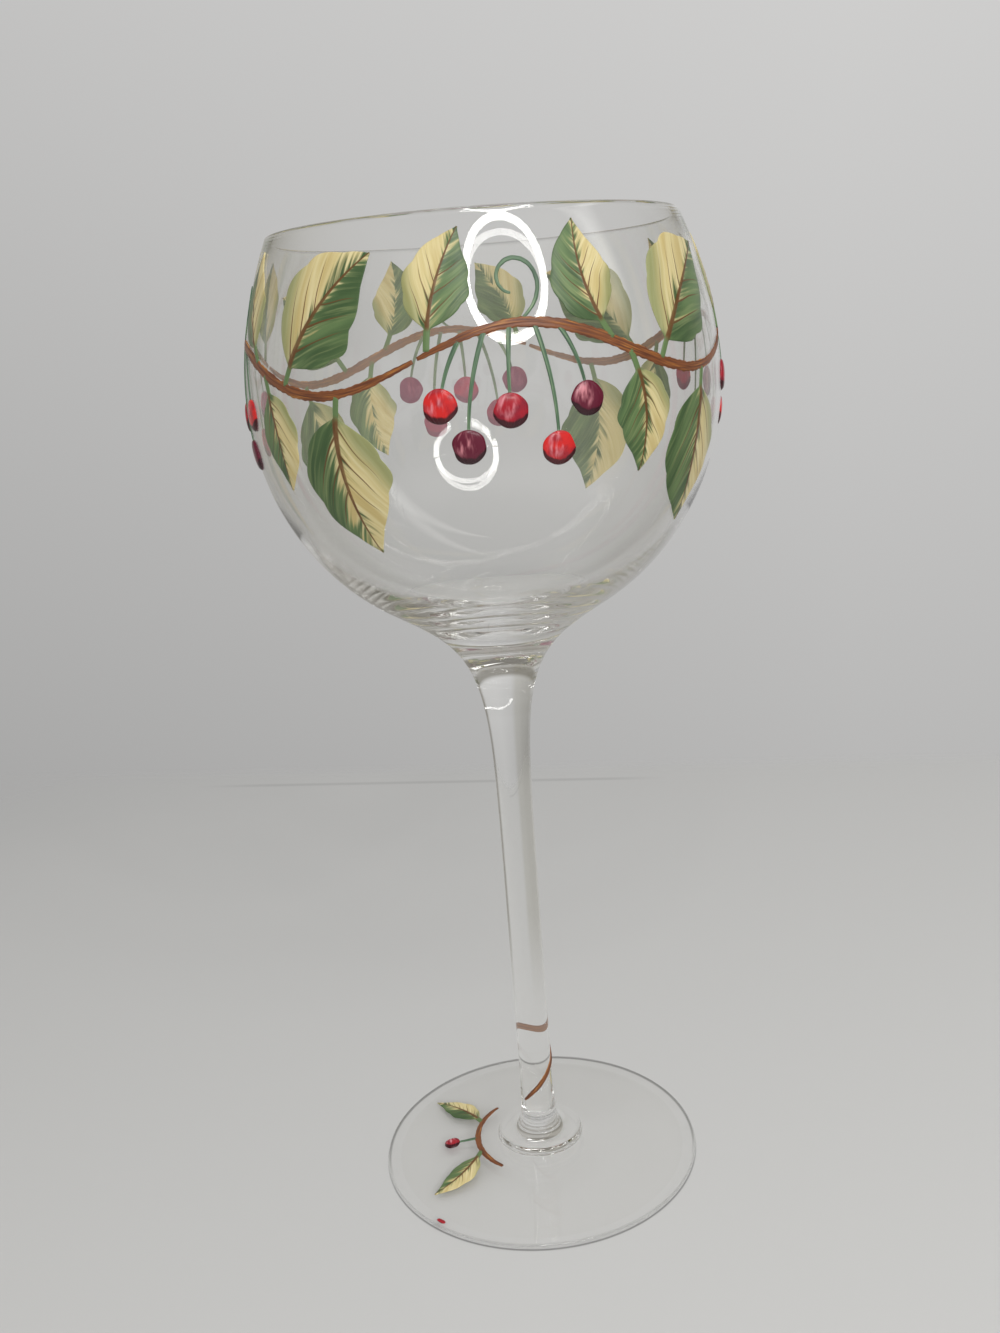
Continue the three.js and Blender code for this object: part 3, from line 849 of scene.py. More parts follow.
@dataclass(frozen=True)
class Foot:
    """The spread foot: a disc that rests on a ring near its edge, with a low hub. Millimetres."""

    radius: float = 40.2
    edge_thickness: float = 1.5
    rise: float = 3.0
    slope: float = 1.4
    hollow: float = 1.3
    rest_width: float = 2.6
    hub_radius: float = 10.9
    hub_shoulder: float = 1.3
    hub_step: float = 1.5
    hub_fillet: float = 0.5
    joint_height: float = 8.5
    saddle_handle: float = 0.55
    hollow_steps: int = 24
    rest_steps: int = 4
    edge_steps: int = 28
    slope_steps: int = 39
    fillet_steps: int = 8
    shoulder_steps: int = 14
    saddle_steps: int = 22

    @property
    def flat_radius(self) -> float:
        """Where the upper face ends and the round edge begins."""
        return self.radius - self.edge_thickness / 2

    def top_height(self, radius: Numbers) -> Numbers:
        """The upper face: edge_thickness + rise s^slope, with s from 0 at the edge to 1 at the hub."""
        share = np.clip((self.flat_radius - radius) / (self.flat_radius - self.hub_radius), 0, None)
        return self.edge_thickness + self.rise * share**self.slope

    def underside(self) -> Array:
        """The section from the axis, over the hollow and the flat ring, and round the edge."""
        rest_inner = self.flat_radius - self.rest_width
        share = np.linspace(0, 1, self.hollow_steps + 1)
        hollow = np.stack([rest_inner * share, self.hollow * (1 - share**2)], axis=1)
        rest = np.linspace([rest_inner, 0], [self.flat_radius, 0], self.rest_steps + 1)
        edge_round = self.edge_thickness / 2
        edge_middle = np.array([self.flat_radius, edge_round])
        edge = ellipse_arc(edge_middle, np.full(2, edge_round), -math.pi / 2, math.pi / 2, self.edge_steps)
        return np.concatenate([hollow, rest[1:], edge[1:]])

    def hub(self, start: Array, stem: Stem) -> Array:
        """The section of the hub: a fillet, a round shoulder, and a saddle that runs out into the stem.

        Args:
            start: where the upper face meets the fillet.
            stem: the stem that stands on the hub.

        Returns:
            Rows of (radius, height), from the start to the joint.
        """
        corner = np.array([self.hub_radius, start[1]])
        side = corner + [0, self.hub_fillet]
        fillet = bezier(start, corner, corner, side, self.fillet_steps)
        top = self.top_height(self.hub_radius) + self.hub_step
        shoulder_middle = side - [self.hub_shoulder, 0]
        shoulder_size = np.array([self.hub_shoulder, top - side[1]])
        shoulder = ellipse_arc(shoulder_middle, shoulder_size, 0, math.pi / 2, self.shoulder_steps)
        joint = np.array([stem.radius_at(0.0), self.joint_height])
        inward = np.array([joint[0] - shoulder_middle[0], 0]) * self.saddle_handle
        upward = np.array([stem.slope_at(0.0), 1.0]) * (self.joint_height - top) * self.saddle_handle
        saddle = bezier(shoulder[-1], shoulder[-1] + inward, joint - upward, joint, self.saddle_steps)
        return np.concatenate([fillet, shoulder[1:], saddle[1:]])

    def profile(self, stem: Stem) -> Array:
        """The section from the axis under the foot to the axis at the joint with the stem."""
        radius = np.linspace(self.flat_radius, self.hub_radius + self.hub_fillet, self.slope_steps + 1)
        slope = np.stack([radius, self.top_height(radius)], axis=1)
        hub = self.hub(slope[-1], stem)
        return np.concatenate([self.underside(), slope[1:], hub[1:], [[0, self.joint_height]]])

    def place(self, x: Array, y: Array, lift: Array) -> Array:
        """Put spots of a drawing, as seen from above, on the upper face, raised by lift."""
        return np.stack([x, y, self.top_height(np.hypot(x, y)) + lift], axis=-1)

    def build(self, stem: Stem) -> None:
        """Build and dress the foot."""
        plan = turned(self.profile(stem), seams=(False, True))
        set_in_place(plan.build("foot_glass", glass_faces()), "foot")


@dataclass(frozen=True)
class Stem:
    """The drawn rod, with a trumpet flare under the bowl and a small flare on the foot. Millimetres."""

    base: float = 8.5
    length: float = 123.5
    radius: float = 4.15
    top_flare: float = 5.1
    top_flare_length: float = 9.4
    base_flare: float = 0.85
    base_flare_length: float = 3.5
    rings: int = 150
    ring_margin: float = 0.6

    @property
    def top(self) -> float:
        """The height of the joint with the bowl."""
        return self.base + self.length

    def radius_at(self, height: Numbers) -> Numbers:
        """The radius at a height over the foot: radius + T exp((h - length) / t) + B exp(-h / b)."""
        top = self.top_flare * np.exp((height - self.length) / self.top_flare_length)
        base = self.base_flare * np.exp(-height / self.base_flare_length)
        return self.radius + top + base

    def slope_at(self, height: Numbers) -> Numbers:
        """How fast the radius grows with height: (T / t) exp((h - length) / t) - (B / b) exp(-h / b)."""
        top = self.top_flare / self.top_flare_length * np.exp((height - self.length) / self.top_flare_length)
        base = self.base_flare / self.base_flare_length * np.exp(-height / self.base_flare_length)
        return top - base

    def profile(self) -> Array:
        """The section from axis to axis, upwards, with a very short ring at each end."""
        base_end = [0, END_RING]
        rod = np.linspace(self.ring_margin, self.length - self.ring_margin, self.rings)
        top_end = [self.length - END_RING, self.length]
        height = np.concatenate([base_end, rod, top_end])
        wall = np.stack([self.radius_at(height), self.base + height], axis=1)
        return np.concatenate([[[0, self.base]], wall, [[0, self.top]]])

    def place(self, x: Array, y: Array, lift: Array) -> Array:
        """Put spots of a drawing, x round the rod and y up from the foot, on the stem, raised by lift."""
        radius = self.radius_at(y) + lift
        angle = x / self.radius
        return np.stack([radius * np.sin(angle), -radius * np.cos(angle), self.base + y], axis=-1)

    def build(self) -> None:
        """Build and dress the stem."""
        plan = turned(self.profile(), seams=(True, True))
        set_in_place(plan.build("stem_glass", glass_faces()), "stem")


@dataclass(frozen=True)
class Bowl:
    """The blown bowl: a curve from rim to belly, a half ellipse below it, a thick base and a short neck.

    Millimetres and degrees. Heights are measured from the joint with the stem.
    """

    joint: float = 132.0
    radius: float = 52.6
    belly_height: float = 63.4
    belly_handle: float = 12.0
    rim_radius: float = 44.8
    rim_rise: float = 34.22
    rim_lean: float = 24.4
    rim_handle: float = 9.5
    wall: float = 1.0
    rim_thickness: float = 1.3
    rim_inner_lean: float = 27.0
    lip_length: float = 1.3
    lip_slope: float = 0.14
    solid_base: float = 11.0
    inner_fullness: float = 2.1
    neck_height: float = 15.0
    neck_radius: float = 26.7
    neck_stem_handle: float = 7.0
    neck_bowl_handle: float = 4.0
    garland_below_rim: float = 27.5
    short_step: float = 0.1
    line_steps: int = 2000
    close_length: float = 15.6
    wall_rings: int = 80
    close_rings: int = 24
    lip_rings: int = 12
    neck_steps: int = 36
    rim_steps: int = 14
    inner_upper_steps: int = 40
    inner_lower_steps: int = 70

    def upper_wall(self, rim: Array, lean: float, belly_radius: float, steps: int) -> Array:
        """A curve from the rim down to the belly.

        Args:
            rim: where it starts.
            lean: how far it leans out from the axis there, in degrees.
            belly_radius: its radius at the belly, where it stands upright.
            steps: how many steps it has.

        Returns:
            Rows of (radius, height).
        """
        down = np.array([math.sin(math.radians(lean)), -math.cos(math.radians(lean))])
        belly = np.array([belly_radius, self.belly_height])
        return bezier(rim, rim + down * self.rim_handle, belly + [0, self.belly_handle], belly, steps)

    @cached_property
    def wall_line(self) -> Array:
        """Close points of the outer wall from the rim to the neck: the upper curve, then the half ellipse.

        The half ellipse is as deep as it has to be to pass through (neck_radius, neck_height).
        """
        rim = np.array([self.rim_radius, self.belly_height + self.rim_rise])
        upper = self.upper_wall(rim, self.rim_lean, self.radius, self.line_steps)
        neck_angle = -math.acos(self.neck_radius / self.radius)
        depth = (self.belly_height - self.neck_height) / math.sin(-neck_angle)
        belly = np.array([0, self.belly_height])
        lower = ellipse_arc(belly, np.array([self.radius, depth]), 0, neck_angle, self.line_steps)
        return np.concatenate([upper, lower[1:]])

    @cached_property
    def wall_lengths(self) -> Array:
        """The length of wall from the rim to each point of wall_line."""
        steps = np.linalg.norm(np.diff(self.wall_line, axis=0), axis=1)
        return np.concatenate([[0.0], np.cumsum(steps)])

    def wall_point(self, below: Numbers) -> Array:
        """The outer wall's (radius, height) after a length of wall below the rim."""
        line = self.wall_line
        return np.stack([np.interp(below, self.wall_lengths, line[:, column]) for column in (0, 1)], axis=-1)

    def wall_direction(self, below: Numbers) -> Array:
        """The direction down the wall, after a length of wall below the rim, as a vector one long."""
        middle = np.clip(below, self.short_step, self.wall_lengths[-1] - self.short_step)
        along = self.wall_point(middle + self.short_step) - self.wall_point(middle - self.short_step)
        return along / np.linalg.norm(along, axis=-1, keepdims=True)

    @property
    def rim_axes(self) -> tuple[Array, Array]:
        """The directions up along the outer wall at the rim, and square out from it."""
        upward = -self.wall_direction(0.0)
        return upward, np.array([upward[1], -upward[0]])

    def neck(self, stem: Stem) -> Array:
        """The section from the axis at the joint, over a very short ring, to the lower end of the wall."""
        joint = np.array([stem.radius_at(stem.length), 0.0])
        flare = np.array([stem.slope_at(stem.length), 1.0])
        bottom = self.wall_lengths[-1]
        downward = self.wall_direction(bottom)
        end = self.wall_point(bottom)
        end_handle = end - downward * self.neck_bowl_handle / downward[1]
        curve = bezier(joint, joint + flare * self.neck_stem_handle, end_handle, end, self.neck_steps)
        return np.concatenate([[[0, 0], joint, joint + flare * END_RING], curve[1:]])

    def outside(self) -> Array:
        """The outer wall's section from the neck up to the rim, with its rings closest together at the lip.

        The lip swells outwards by lip_slope lip_length / 3 s^3, with s from 0 below it to 1 at the rim.
        """
        below = np.concatenate(
            [
                np.linspace(self.wall_lengths[-1], self.close_length, self.wall_rings),
                np.geomspace(self.close_length, self.lip_length, self.close_rings)[1:],
                np.linspace(self.lip_length, 0, self.lip_rings)[1:],
            ]
        )
        _, outward = self.rim_axes
        share = np.clip(1 - below / self.lip_length, 0, 1)[:, None]
        return self.wall_point(below) + self.lip_slope * self.lip_length / 3 * share**3 * outward

    def rim(self, start: Array) -> Array:
        """The half circle over the rim, from the outer wall's end to the inner wall."""
        upward, outward = self.rim_axes
        turn = np.linspace(0, math.pi, self.rim_steps + 1)[:, None]
        return start + self.rim_thickness / 2 * ((np.cos(turn) - 1) * outward + np.sin(turn) * upward)

    def inside(self, start: Array) -> Array:
        """The inner wall's section from the rim down to the axis.

        Below the belly a point is (r cos^p t, belly_height - d sin^p t), with p = 2 / inner_fullness, r the
        inner radius and d the depth down to the solid base, for t from 0 to a quarter of a turn.

        Args:
            start: the rim's inner end.

        Returns:
            Rows of (radius, height).
        """
        radius = self.radius - self.wall
        depth = self.belly_height - self.solid_base
        upper = self.upper_wall(start, self.rim_inner_lean, radius, self.inner_upper_steps)
        angle = np.linspace(0, math.pi / 2, self.inner_lower_steps + 1)[1:-1]
        power = 2 / self.inner_fullness
        across = radius * np.cos(angle) ** power
        height = self.belly_height - depth * np.sin(angle) ** power
        return np.concatenate([upper, np.stack([across, height], axis=1), [[0, self.solid_base]]])

    def profile(self, stem: Stem) -> Array:
        """The section from the axis at the joint, up the outside, over the rim and down the inside."""
        outside = self.outside()
        rim = self.rim(outside[-1])
        inside = self.inside(rim[-1])
        return np.concatenate([self.neck(stem), outside[1:], rim[1:], inside[1:]]) + [0, self.joint]

    def place(self, x: Array, y: Array, lift: Array) -> Array:
        """Put spots of a drawing, x round the belly and y up the wall from the garland, on the outside."""
        below = self.garland_below_rim - y
        point = self.wall_point(below)
        direction = self.wall_direction(below)
        radius = point[..., 0] - direction[..., 1] * lift
        height = point[..., 1] + direction[..., 0] * lift
        turn = x / self.radius
        return np.stack([radius * np.sin(turn), -radius * np.cos(turn), self.joint + height], axis=-1)

    def build(self, stem: Stem) -> None:
        """Build and dress the bowl."""
        plan = turned(self.profile(stem), seams=(True, False))
        set_in_place(plan.build("bowl_glass", glass_faces()), "bowl")


# Enamel films


@dataclass(frozen=True)
class Stroke:
    """One stroke of the brush in the flat drawing of a glass surface, in millimetres.

    It follows path(s) for shares s from 0 to 1, reaches left(s) and right(s) to its two sides, and stands
    relief(s, lane) over the glass, with the lane from -1 on the right to 1 on the left.
    """

    path: Path
    left: Width
    right: Width
    relief: Relief
    shares: Array
    lanes: Array


@dataclass
class Film:
    """A stroke laid on the glass: a closed film whose underside lies just inside the glass."""

    stroke: Stroke
    placing: Placing
    sunk: float = 0.03

    @cached_property
    def offsets(self) -> Array:
        """How far each point of the grid lies to the left of the stroke's middle line."""
        lanes = self.stroke.lanes[None, :]
        left = self.stroke.left(self.stroke.shares)[:, None]
        right = self.stroke.right(self.stroke.shares)[:, None]
        return lanes * np.where(lanes > 0, left, right)

    @cached_property
    def spots(self) -> Array:
        """The flat drawing's points: path(s) plus the offset along the normal of the path."""
        shares = self.stroke.shares
        ahead = self.stroke.path(shares + SMALL_STEP) - self.stroke.path(shares - SMALL_STEP)
        ahead = ahead / np.linalg.norm(ahead, axis=1, keepdims=True)
        leftward = np.stack([-ahead[:, 1], ahead[:, 0]], axis=1)
        return self.stroke.path(shares)[:, None] + leftward[:, None] * self.offsets[..., None]

    def plan(self, row_slots: Array | None = None) -> MeshPlan:
        """Make the mesh: the front, the back, and the strip that joins them all round.

        Args:
            row_slots: the slot of each row's front, where rows differ. The back has the next slot.

        Returns:
            The mesh, whose points are the front's grid and then the back's.
        """
        rows, columns = self.offsets.shape
        x, y = self.spots[..., 0], self.spots[..., 1]
        relief = self.stroke.relief(self.stroke.shares[:, None], self.stroke.lanes[None, :])
        front = self.placing(x, y, np.broadcast_to(relief, x.shape))
        back = self.placing(x, y, np.full(x.shape, -self.sunk))
        plan = MeshPlan(np.concatenate([front.reshape(-1, 3), back.reshape(-1, 3)]))
        top = np.arange(rows * columns).reshape(rows, columns)
        low = top + rows * columns
        slots = np.zeros(rows - 1, int) if row_slots is None else row_slots
        for slot in np.unique(slots):
            chosen = slots == slot
            near, far = top[:-1][chosen], top[1:][chosen]
            near_low, far_low = low[:-1][chosen], low[1:][chosen]
            upper = [near[:, :-1], far[:, :-1], far[:, 1:], near[:, 1:]]
            under = [near_low[:, :-1], near_low[:, 1:], far_low[:, 1:], far_low[:, :-1]]
            plan.add(np.stack(upper, axis=-1).reshape(-1, 4), slot)
            plan.add(np.stack(under, axis=-1).reshape(-1, 4), slot + 1)
            plan.add(np.stack([near_low[:, 0], far_low[:, 0], far[:, 0], near[:, 0]], axis=-1), slot)
            plan.add(np.stack([far_low[:, -1], near_low[:, -1], near[:, -1], far[:, -1]], axis=-1), slot)
        plan.add(np.stack([low[0, 1:], low[0, :-1], top[0, :-1], top[0, 1:]], axis=-1), slots[0])
        plan.add(np.stack([low[-1, :-1], low[-1, 1:], top[-1, 1:], top[-1, :-1]], axis=-1), slots[-1])
        return plan

    def on_both_faces(self, u: Array, v: Array) -> Array:
        """UV coordinates that the front's grid and the back's grid share."""
        shape = self.offsets.shape
        face = np.stack([np.broadcast_to(u, shape), np.broadcast_to(v, shape)], axis=-1).reshape(-1, 2)
        return np.concatenate([face, face])

    def in_centimetres(self, length: float) -> Array:
        """UV coordinates along and across a stroke of a given length, in centimetres."""
        along = self.stroke.shares[:, None] * length / CENTIMETRE
        return self.on_both_faces(along, self.offsets / CENTIMETRE)


def brush_lanes(count: int, spread: float = 0.5) -> Array:
    """Lanes from -1 to 1, closer together at the edges: a blend of even steps and of sin(pi x / 2)."""
    even = np.linspace(-1, 1, count + 1)
    return (1 - spread) * even + spread * np.sin(even * math.pi / 2)


def bead(lane: Array, sharpness: float) -> Array:
    """The rounded edge of a film of wet enamel: (1 - |lane|^sharpness)^0.5."""
    return np.sqrt(np.clip(1 - np.abs(lane) ** sharpness, 0, None))


@dataclass(frozen=True)
class Growth:
    """Where a stalk springs from in the flat drawing, its direction and its bend, in radians."""

    root: Array
    heading: float
    bend: float

    def path(self, length: float) -> Path:
        """Return the middle line of a stroke of a given length."""
        return lambda shares: along_arc(self.root, self.heading, self.bend, length, shares)


@dataclass(frozen=True)
class LineBrush:
    """A thin brush that draws twigs, stalks and tendrils. Millimetres."""

    paints: list[bpy.types.Material]
    slot: Slot
    widest: float
    tip: float
    thickness: float = 0.2
    lanes: int = 12
    waver: float = 0.05
    steps_each_mm: float = 3.0
    width_fullness: float = 0.6
    wave_lengths: tuple[float, ...] = (9.0, 4.0, 1.7)
    end_share: float = 0.4
    height_fullness: float = 0.3
    hairs: tuple[float, ...] = (3.0, 5.3, 8.1)
    hair_height: float = 0.03
    hair_drift: float = 0.02
    hair_drift_length: float = 20.0
    bead_sharpness: float = 3.0

    def draw(self, node: str, path: Path, length: float, placing: Placing) -> None:
        """Draw one stroke, widest in the middle and drawn out at both ends.

        The half-width is tip + (widest - tip) sin(pi s)^width_fullness, with a slight waver. The front is a
        low bead with the fine ridges that hairs leave. Its height is thickness (e + (1 - e) b), with e the
        end_share and b = sin(pi s)^height_fullness.

        Args:
            node: the solid that the stroke stands for.
            path: the stroke's middle line.
            length: its length.
            placing: puts the drawing on the glass.
        """
        seed = seed_of(node)

        def body(shares: Array) -> Array:
            """How full the stroke is: sin(pi s)."""
            return np.clip(np.sin(math.pi * shares), 0, None)

        def half_width(shares: Array, side_seed: int) -> Array:
            """The reach to one side."""
            waves = tuple(length / wave for wave in self.wave_lengths)
            waver = 1 + unsteady(shares, side_seed, waves, self.waver)
            return (self.tip + (self.widest - self.tip) * body(shares) ** self.width_fullness) * waver

        def relief(shares: Array, lane: Array) -> Array:
            """The bead's height."""
            drift = self.hair_drift * np.sin(TURN * shares * length / self.hair_drift_length)
            hairs = unsteady(lane / 2 + drift, seed, self.hairs, self.hair_height)
            height = self.end_share + (1 - self.end_share) * body(shares) ** self.height_fullness
            return FILM_EDGE + (self.thickness * height + hairs) * bead(lane, self.bead_sharpness)

        stroke = Stroke(
            path=path,
            left=lambda shares: half_width(shares, seed),
            right=lambda shares: half_width(shares, seed + 1),
            relief=relief,
            shares=np.linspace(0, 1, int(length * self.steps_each_mm) + 2),
            lanes=brush_lanes(self.lanes),
        )
        film = Film(stroke, placing)
        plan = film.plan()
        plan.uv_maps["stroke"] = film.in_centimetres(length)
        plan.values["seed"] = seed % SHADER_SEEDS
        set_in_place(plan.build(f"{node}_enamel", self.paints), node)


@dataclass(frozen=True)
class LeafShape:
    """A pointed leaf with its stalk. Millimetres."""

    length: float
    half_width: float
    stalk_length: float = 4.0
    stalk_half_width: float = 0.65
    tip_half_width: float = 0.2
    fullness: float = 0.78
    scallop: float = 0.085
    scallops: float = 3.6
    lobe_waves: tuple[float, ...] = (1.3, 2.9)
    lobe_waver: float = 0.02
    thickness: float = 0.22
    side_thinning: float = 0.07
    bead_sharpness: float = 8.0
    vein_ridge: float = 0.05
    vein_spread: float = 1.5
    midrib_ridge: float = 0.09
    midrib_spread: float = 1.2
    midrib_thinning: float = 0.7
    ridge_start: float = 12.0
    ridge_end: float = 8.0
    tone_shift: float = 0.03
    stalk_rows: int = 9
    rows_each_mm: float = 3.6
    lanes_each_mm: float = 3.2

    @property
    def whole(self) -> float:
        """The length of the stalk and the blade."""
        return self.stalk_length + self.length

    @property
    def rows(self) -> Array:
        """The shares of the whole length that have a row of points, on the stalk and on the blade."""
        stalk_share = self.stalk_length / self.whole
        stalk = np.linspace(0, stalk_share, self.stalk_rows + 1)[:-1]
        return np.concatenate([stalk, np.linspace(stalk_share, 1, round(self.length * self.rows_each_mm))])

    def along(self, shares: Array) -> Array:
        """Places along the blade, from 0 at its base to 1 at its tip, and under 0 on the stalk."""
        return (shares * self.whole - self.stalk_length) / self.length

    def half_width_at(self, shares: Array, seed: int) -> Array:
        """The half-width: the stalk's, or half_width sin(pi a^fullness) with soft scallops along the blade.

        Args:
            shares: shares of the whole length.
            seed: picks the waver of the lobes.

        Returns:
            One half-width for each share. The fourth root of a sum of fourth powers joins stalk and blade.
        """
        along = np.clip(self.along(shares), 0, 1)
        body = np.sin(math.pi * along**self.fullness)
        lobes = 1 + self.scallop * np.abs(np.sin(math.pi * self.scallops * along))
        scallops = lobes + unsteady(along, seed, self.lobe_waves, self.lobe_waver)
        end = self.stalk_half_width + (self.tip_half_width - self.stalk_half_width) * along
        blade = self.half_width * body * scallops / (1 + self.scallop)
        return (blade**4 + end**4) ** 0.25

    def relief(self, shares: Array, lane: Array, seed: int) -> Array:
        """The film's height: thickest along the midrib, with a ridge of enamel along each vein.

        A ridge has the section exp(-(d / w)^2), with d the distance from the vein and w its half-width
        times its spread. The ridges rise within 1 / ridge_start of the blade's length, and sink within
        1 / ridge_end of it.

        Args:
            shares: shares of the whole length.
            lane: lanes from -1 to 1.
            seed: the leaf's seed.

        Returns:
            One height for each place.
        """
        along = self.along(shares)
        side = np.where(lane > 0, self.half_width_at(shares, seed), self.half_width_at(shares, seed + 1))
        across = lane * side / self.length
        vein_width = self.vein_spread * LEAF.vein_half_width
        midrib_width = self.midrib_spread * LEAF.midrib_half_width
        veins = np.exp(-((LEAF.vein_places(along, across) / vein_width) ** 2)) * (1 - np.abs(lane) ** 3)
        midrib = np.exp(-((across / midrib_width) ** 2)) * (1 - self.midrib_thinning * np.clip(along, 0, 1))
        on_blade = np.clip(along * self.ridge_start, 0, 1) * np.clip((1 - along) * self.ridge_end, 0, 1)
        ridges = (self.vein_ridge * veins + self.midrib_ridge * midrib) * on_blade
        body = self.thickness - self.side_thinning * np.abs(lane)
        return FILM_EDGE + (body + ridges) * bead(lane, self.bead_sharpness)

    def paint(self, node: str, growth: Growth, cream_above: float, placing: Placing) -> None:
        """Paint one leaf.

        Args:
            node: the solid that the leaf stands for.
            growth: where and how the leaf grows.
            cream_above: 1 if the leaf's left side is the cream one, or -1.
            placing: puts the drawing on the glass.
        """
        seed = seed_of(node)
        stroke = Stroke(
            path=growth.path(self.whole),
            left=lambda shares: self.half_width_at(shares, seed),
            right=lambda shares: self.half_width_at(shares, seed + 1),
            relief=lambda shares, lane: self.relief(shares, lane, seed),
            shares=self.rows,
            lanes=brush_lanes(2 * round(self.half_width * self.lanes_each_mm) + 4),
        )
        film = Film(stroke, placing)
        plan = film.plan()
        along = self.along(stroke.shares)[:, None]
        plan.uv_maps["leaf"] = film.on_both_faces(along, film.offsets / self.length)
        plan.uv_maps["film"] = film.on_both_faces(stroke.shares[:, None], (stroke.lanes[None, :] + 1) / 2)
        shift = np.random.default_rng(seed).uniform(-self.tone_shift, self.tone_shift)
        plan.values = {"seed": seed % SHADER_SEEDS, "upper": cream_above, "shift": shift}
        set_in_place(plan.build(f"{node}_enamel", enamel_faces(LEAF)), node)


@dataclass(frozen=True)
class BerryShape:
    """A round berry on its stalk. Millimetres."""

    radius: float
    stalk_length: float
    crown: float = 0.55
    stalk_half_width: float = 0.5
    stalk_taper: float = 0.4
    end_half_width: float = 0.06
    waves: tuple[float, ...] = (1.0, 1.7)
    waver: float = 0.035
    thickness: float = 0.16
    bead_sharpness: float = 4.0
    tip_slope: float = 6.0
    crown_flatness: float = 2.6
    crown_fullness: float = 0.55
    rows_each_mm: float = 2.2
    fewest_stalk_rows: int = 5
    dome_steps: int = 33
    lane_count: int = 26
    lane_spread: float = 0.9

    @property
    def whole(self) -> float:
        """The length of the stalk and the berry."""
        return self.stalk_length + 2 * self.radius

    @property
    def stalk_share(self) -> float:
        """The share of the whole length at which the berry starts."""
        return self.stalk_length / self.whole

    @property
    def middle_share(self) -> float:
        """The share of the whole length at the berry's middle."""
        return (self.stalk_length + self.radius) / self.whole

    @property
    def rows(self) -> tuple[Array, Array]:
        """The shares that have a row of points: on the stalk, and on the berry, closest at its ends."""
        stalk_rows = max(self.fewest_stalk_rows, round(self.stalk_length * self.rows_each_mm) - 1)
        turn = np.linspace(0, math.pi, self.dome_steps + 1)
        dome = self.stalk_share + (1 - self.stalk_share) * (1 - np.cos(turn)) / 2
        return np.linspace(0, self.stalk_share, stalk_rows + 1)[:-1], dome

    def from_middle(self, shares: Array) -> Array:
        """The distance past the berry's middle, in radii of the berry."""
        return (shares - self.middle_share) / (1 - self.middle_share)

    def half_width_at(self, shares: Array, seed: int) -> Array:
        """The half-width: the stalk's, which tapers towards the berry, or the slightly wavering circle's.

        Args:
            shares: shares of the whole length.
            seed: picks the waver of the circle.

        Returns:
            One half-width for each share.
        """
        out = self.from_middle(shares)
        waver = unsteady(np.clip(out, -1, 1) / 2 + 0.5, seed, self.waves, self.waver)
        circle = self.radius * np.sqrt(np.clip(1 - out**2, 0, None)) * (1 + waver)
        taper = 1 - self.stalk_taper * np.clip(shares / self.stalk_share, 0, 1)
        stalk = np.where(shares < self.middle_share, self.stalk_half_width * taper, self.end_half_width)
        return np.maximum(np.where(out > -1, circle, 0), stalk)

    def relief(self, shares: Array, lane: Array) -> Array:
        """The film's height, and the dome that stands on it.

        The dome is crown (1 - q^crown_flatness)^crown_fullness high at q radii from the middle.

        Args:
            shares: shares of the whole length.
            lane: lanes from -1 to 1.

        Returns:
            One height for each place.
        """
        out = self.from_middle(shares)
        across = lane * np.sqrt(np.clip(1 - out**2, 0, None))
        far = np.clip(np.hypot(out, across), 0, 1)
        dome = self.crown * np.clip(1 - far**self.crown_flatness, 0, None) ** self.crown_fullness
        tip = np.clip((1 - out) * self.tip_slope, 0, 1)
        film = self.thickness * bead(lane, self.bead_sharpness) * tip
        return FILM_EDGE + film + np.where(out > -1, dome, 0)

    def paint(self, node: str, growth: Growth, tone: BerryTone, placing: Placing) -> None:
        """Paint one berry: a thin stroke that opens into a round dome of thick enamel.

        Args:
            node: the solid that the berry stands for.
            growth: where and how its stalk grows.
            tone: which red.
            placing: puts the drawing on the glass.
        """
        seed = seed_of(node)
        stalk_rows, dome_rows = self.rows
        stroke = Stroke(
            path=growth.path(self.whole),
            left=lambda shares: self.half_width_at(shares, seed),
            right=lambda shares: self.half_width_at(shares, seed + 1),
            relief=self.relief,
            shares=np.concatenate([stalk_rows, dome_rows]),
            lanes=brush_lanes(self.lane_count, self.lane_spread),
        )
        film = Film(stroke, placing)
        middle = stroke.path(np.array([self.middle_share]))[0]
        disc = (film.spots - middle) / (2 * self.radius) + 0.5
        on_stalk = np.arange(len(stroke.shares) - 1) < len(stalk_rows)
        plan = film.plan(np.where(on_stalk, 2, 0))
        plan.uv_maps["disc"] = film.on_both_faces(disc[..., 0], disc[..., 1])
        plan.uv_maps["stroke"] = film.in_centimetres(self.whole)
        plan.values = {"seed": seed % SHADER_SEEDS, "tone": tone.value}
        materials = [*enamel_faces(BERRY), *enamel_faces(STALK)]
        set_in_place(plan.build(f"{node}_enamel", materials), node)


@dataclass(frozen=True)
class LeafPlan:
    """Where a leaf springs from, as a share of the twig's run, and which way it grows, in degrees."""

    name: str
    place: float
    side: int
    heading: float
    bend: float
    shape: LeafShape


@dataclass(frozen=True)
class BerryPlan:
    """Where a berry springs from along a repeat of the garland, its stalk, and its red."""

    place: float
    heading: float
    bend: float
    stalk_share: float
    tones: tuple[BerryTone, BerryTone, BerryTone, BerryTone]


LARGE_LEAF = LeafShape(29.0, 11.0)
SMALL_LEAF = LeafShape(20.0, 7.0)
FOOT_LEAF = LeafShape(16.0, 3.4, 2.0)
SCARLET, CRIMSON, MAROON = BerryTone.SCARLET, BerryTone.CRIMSON, BerryTone.MAROON


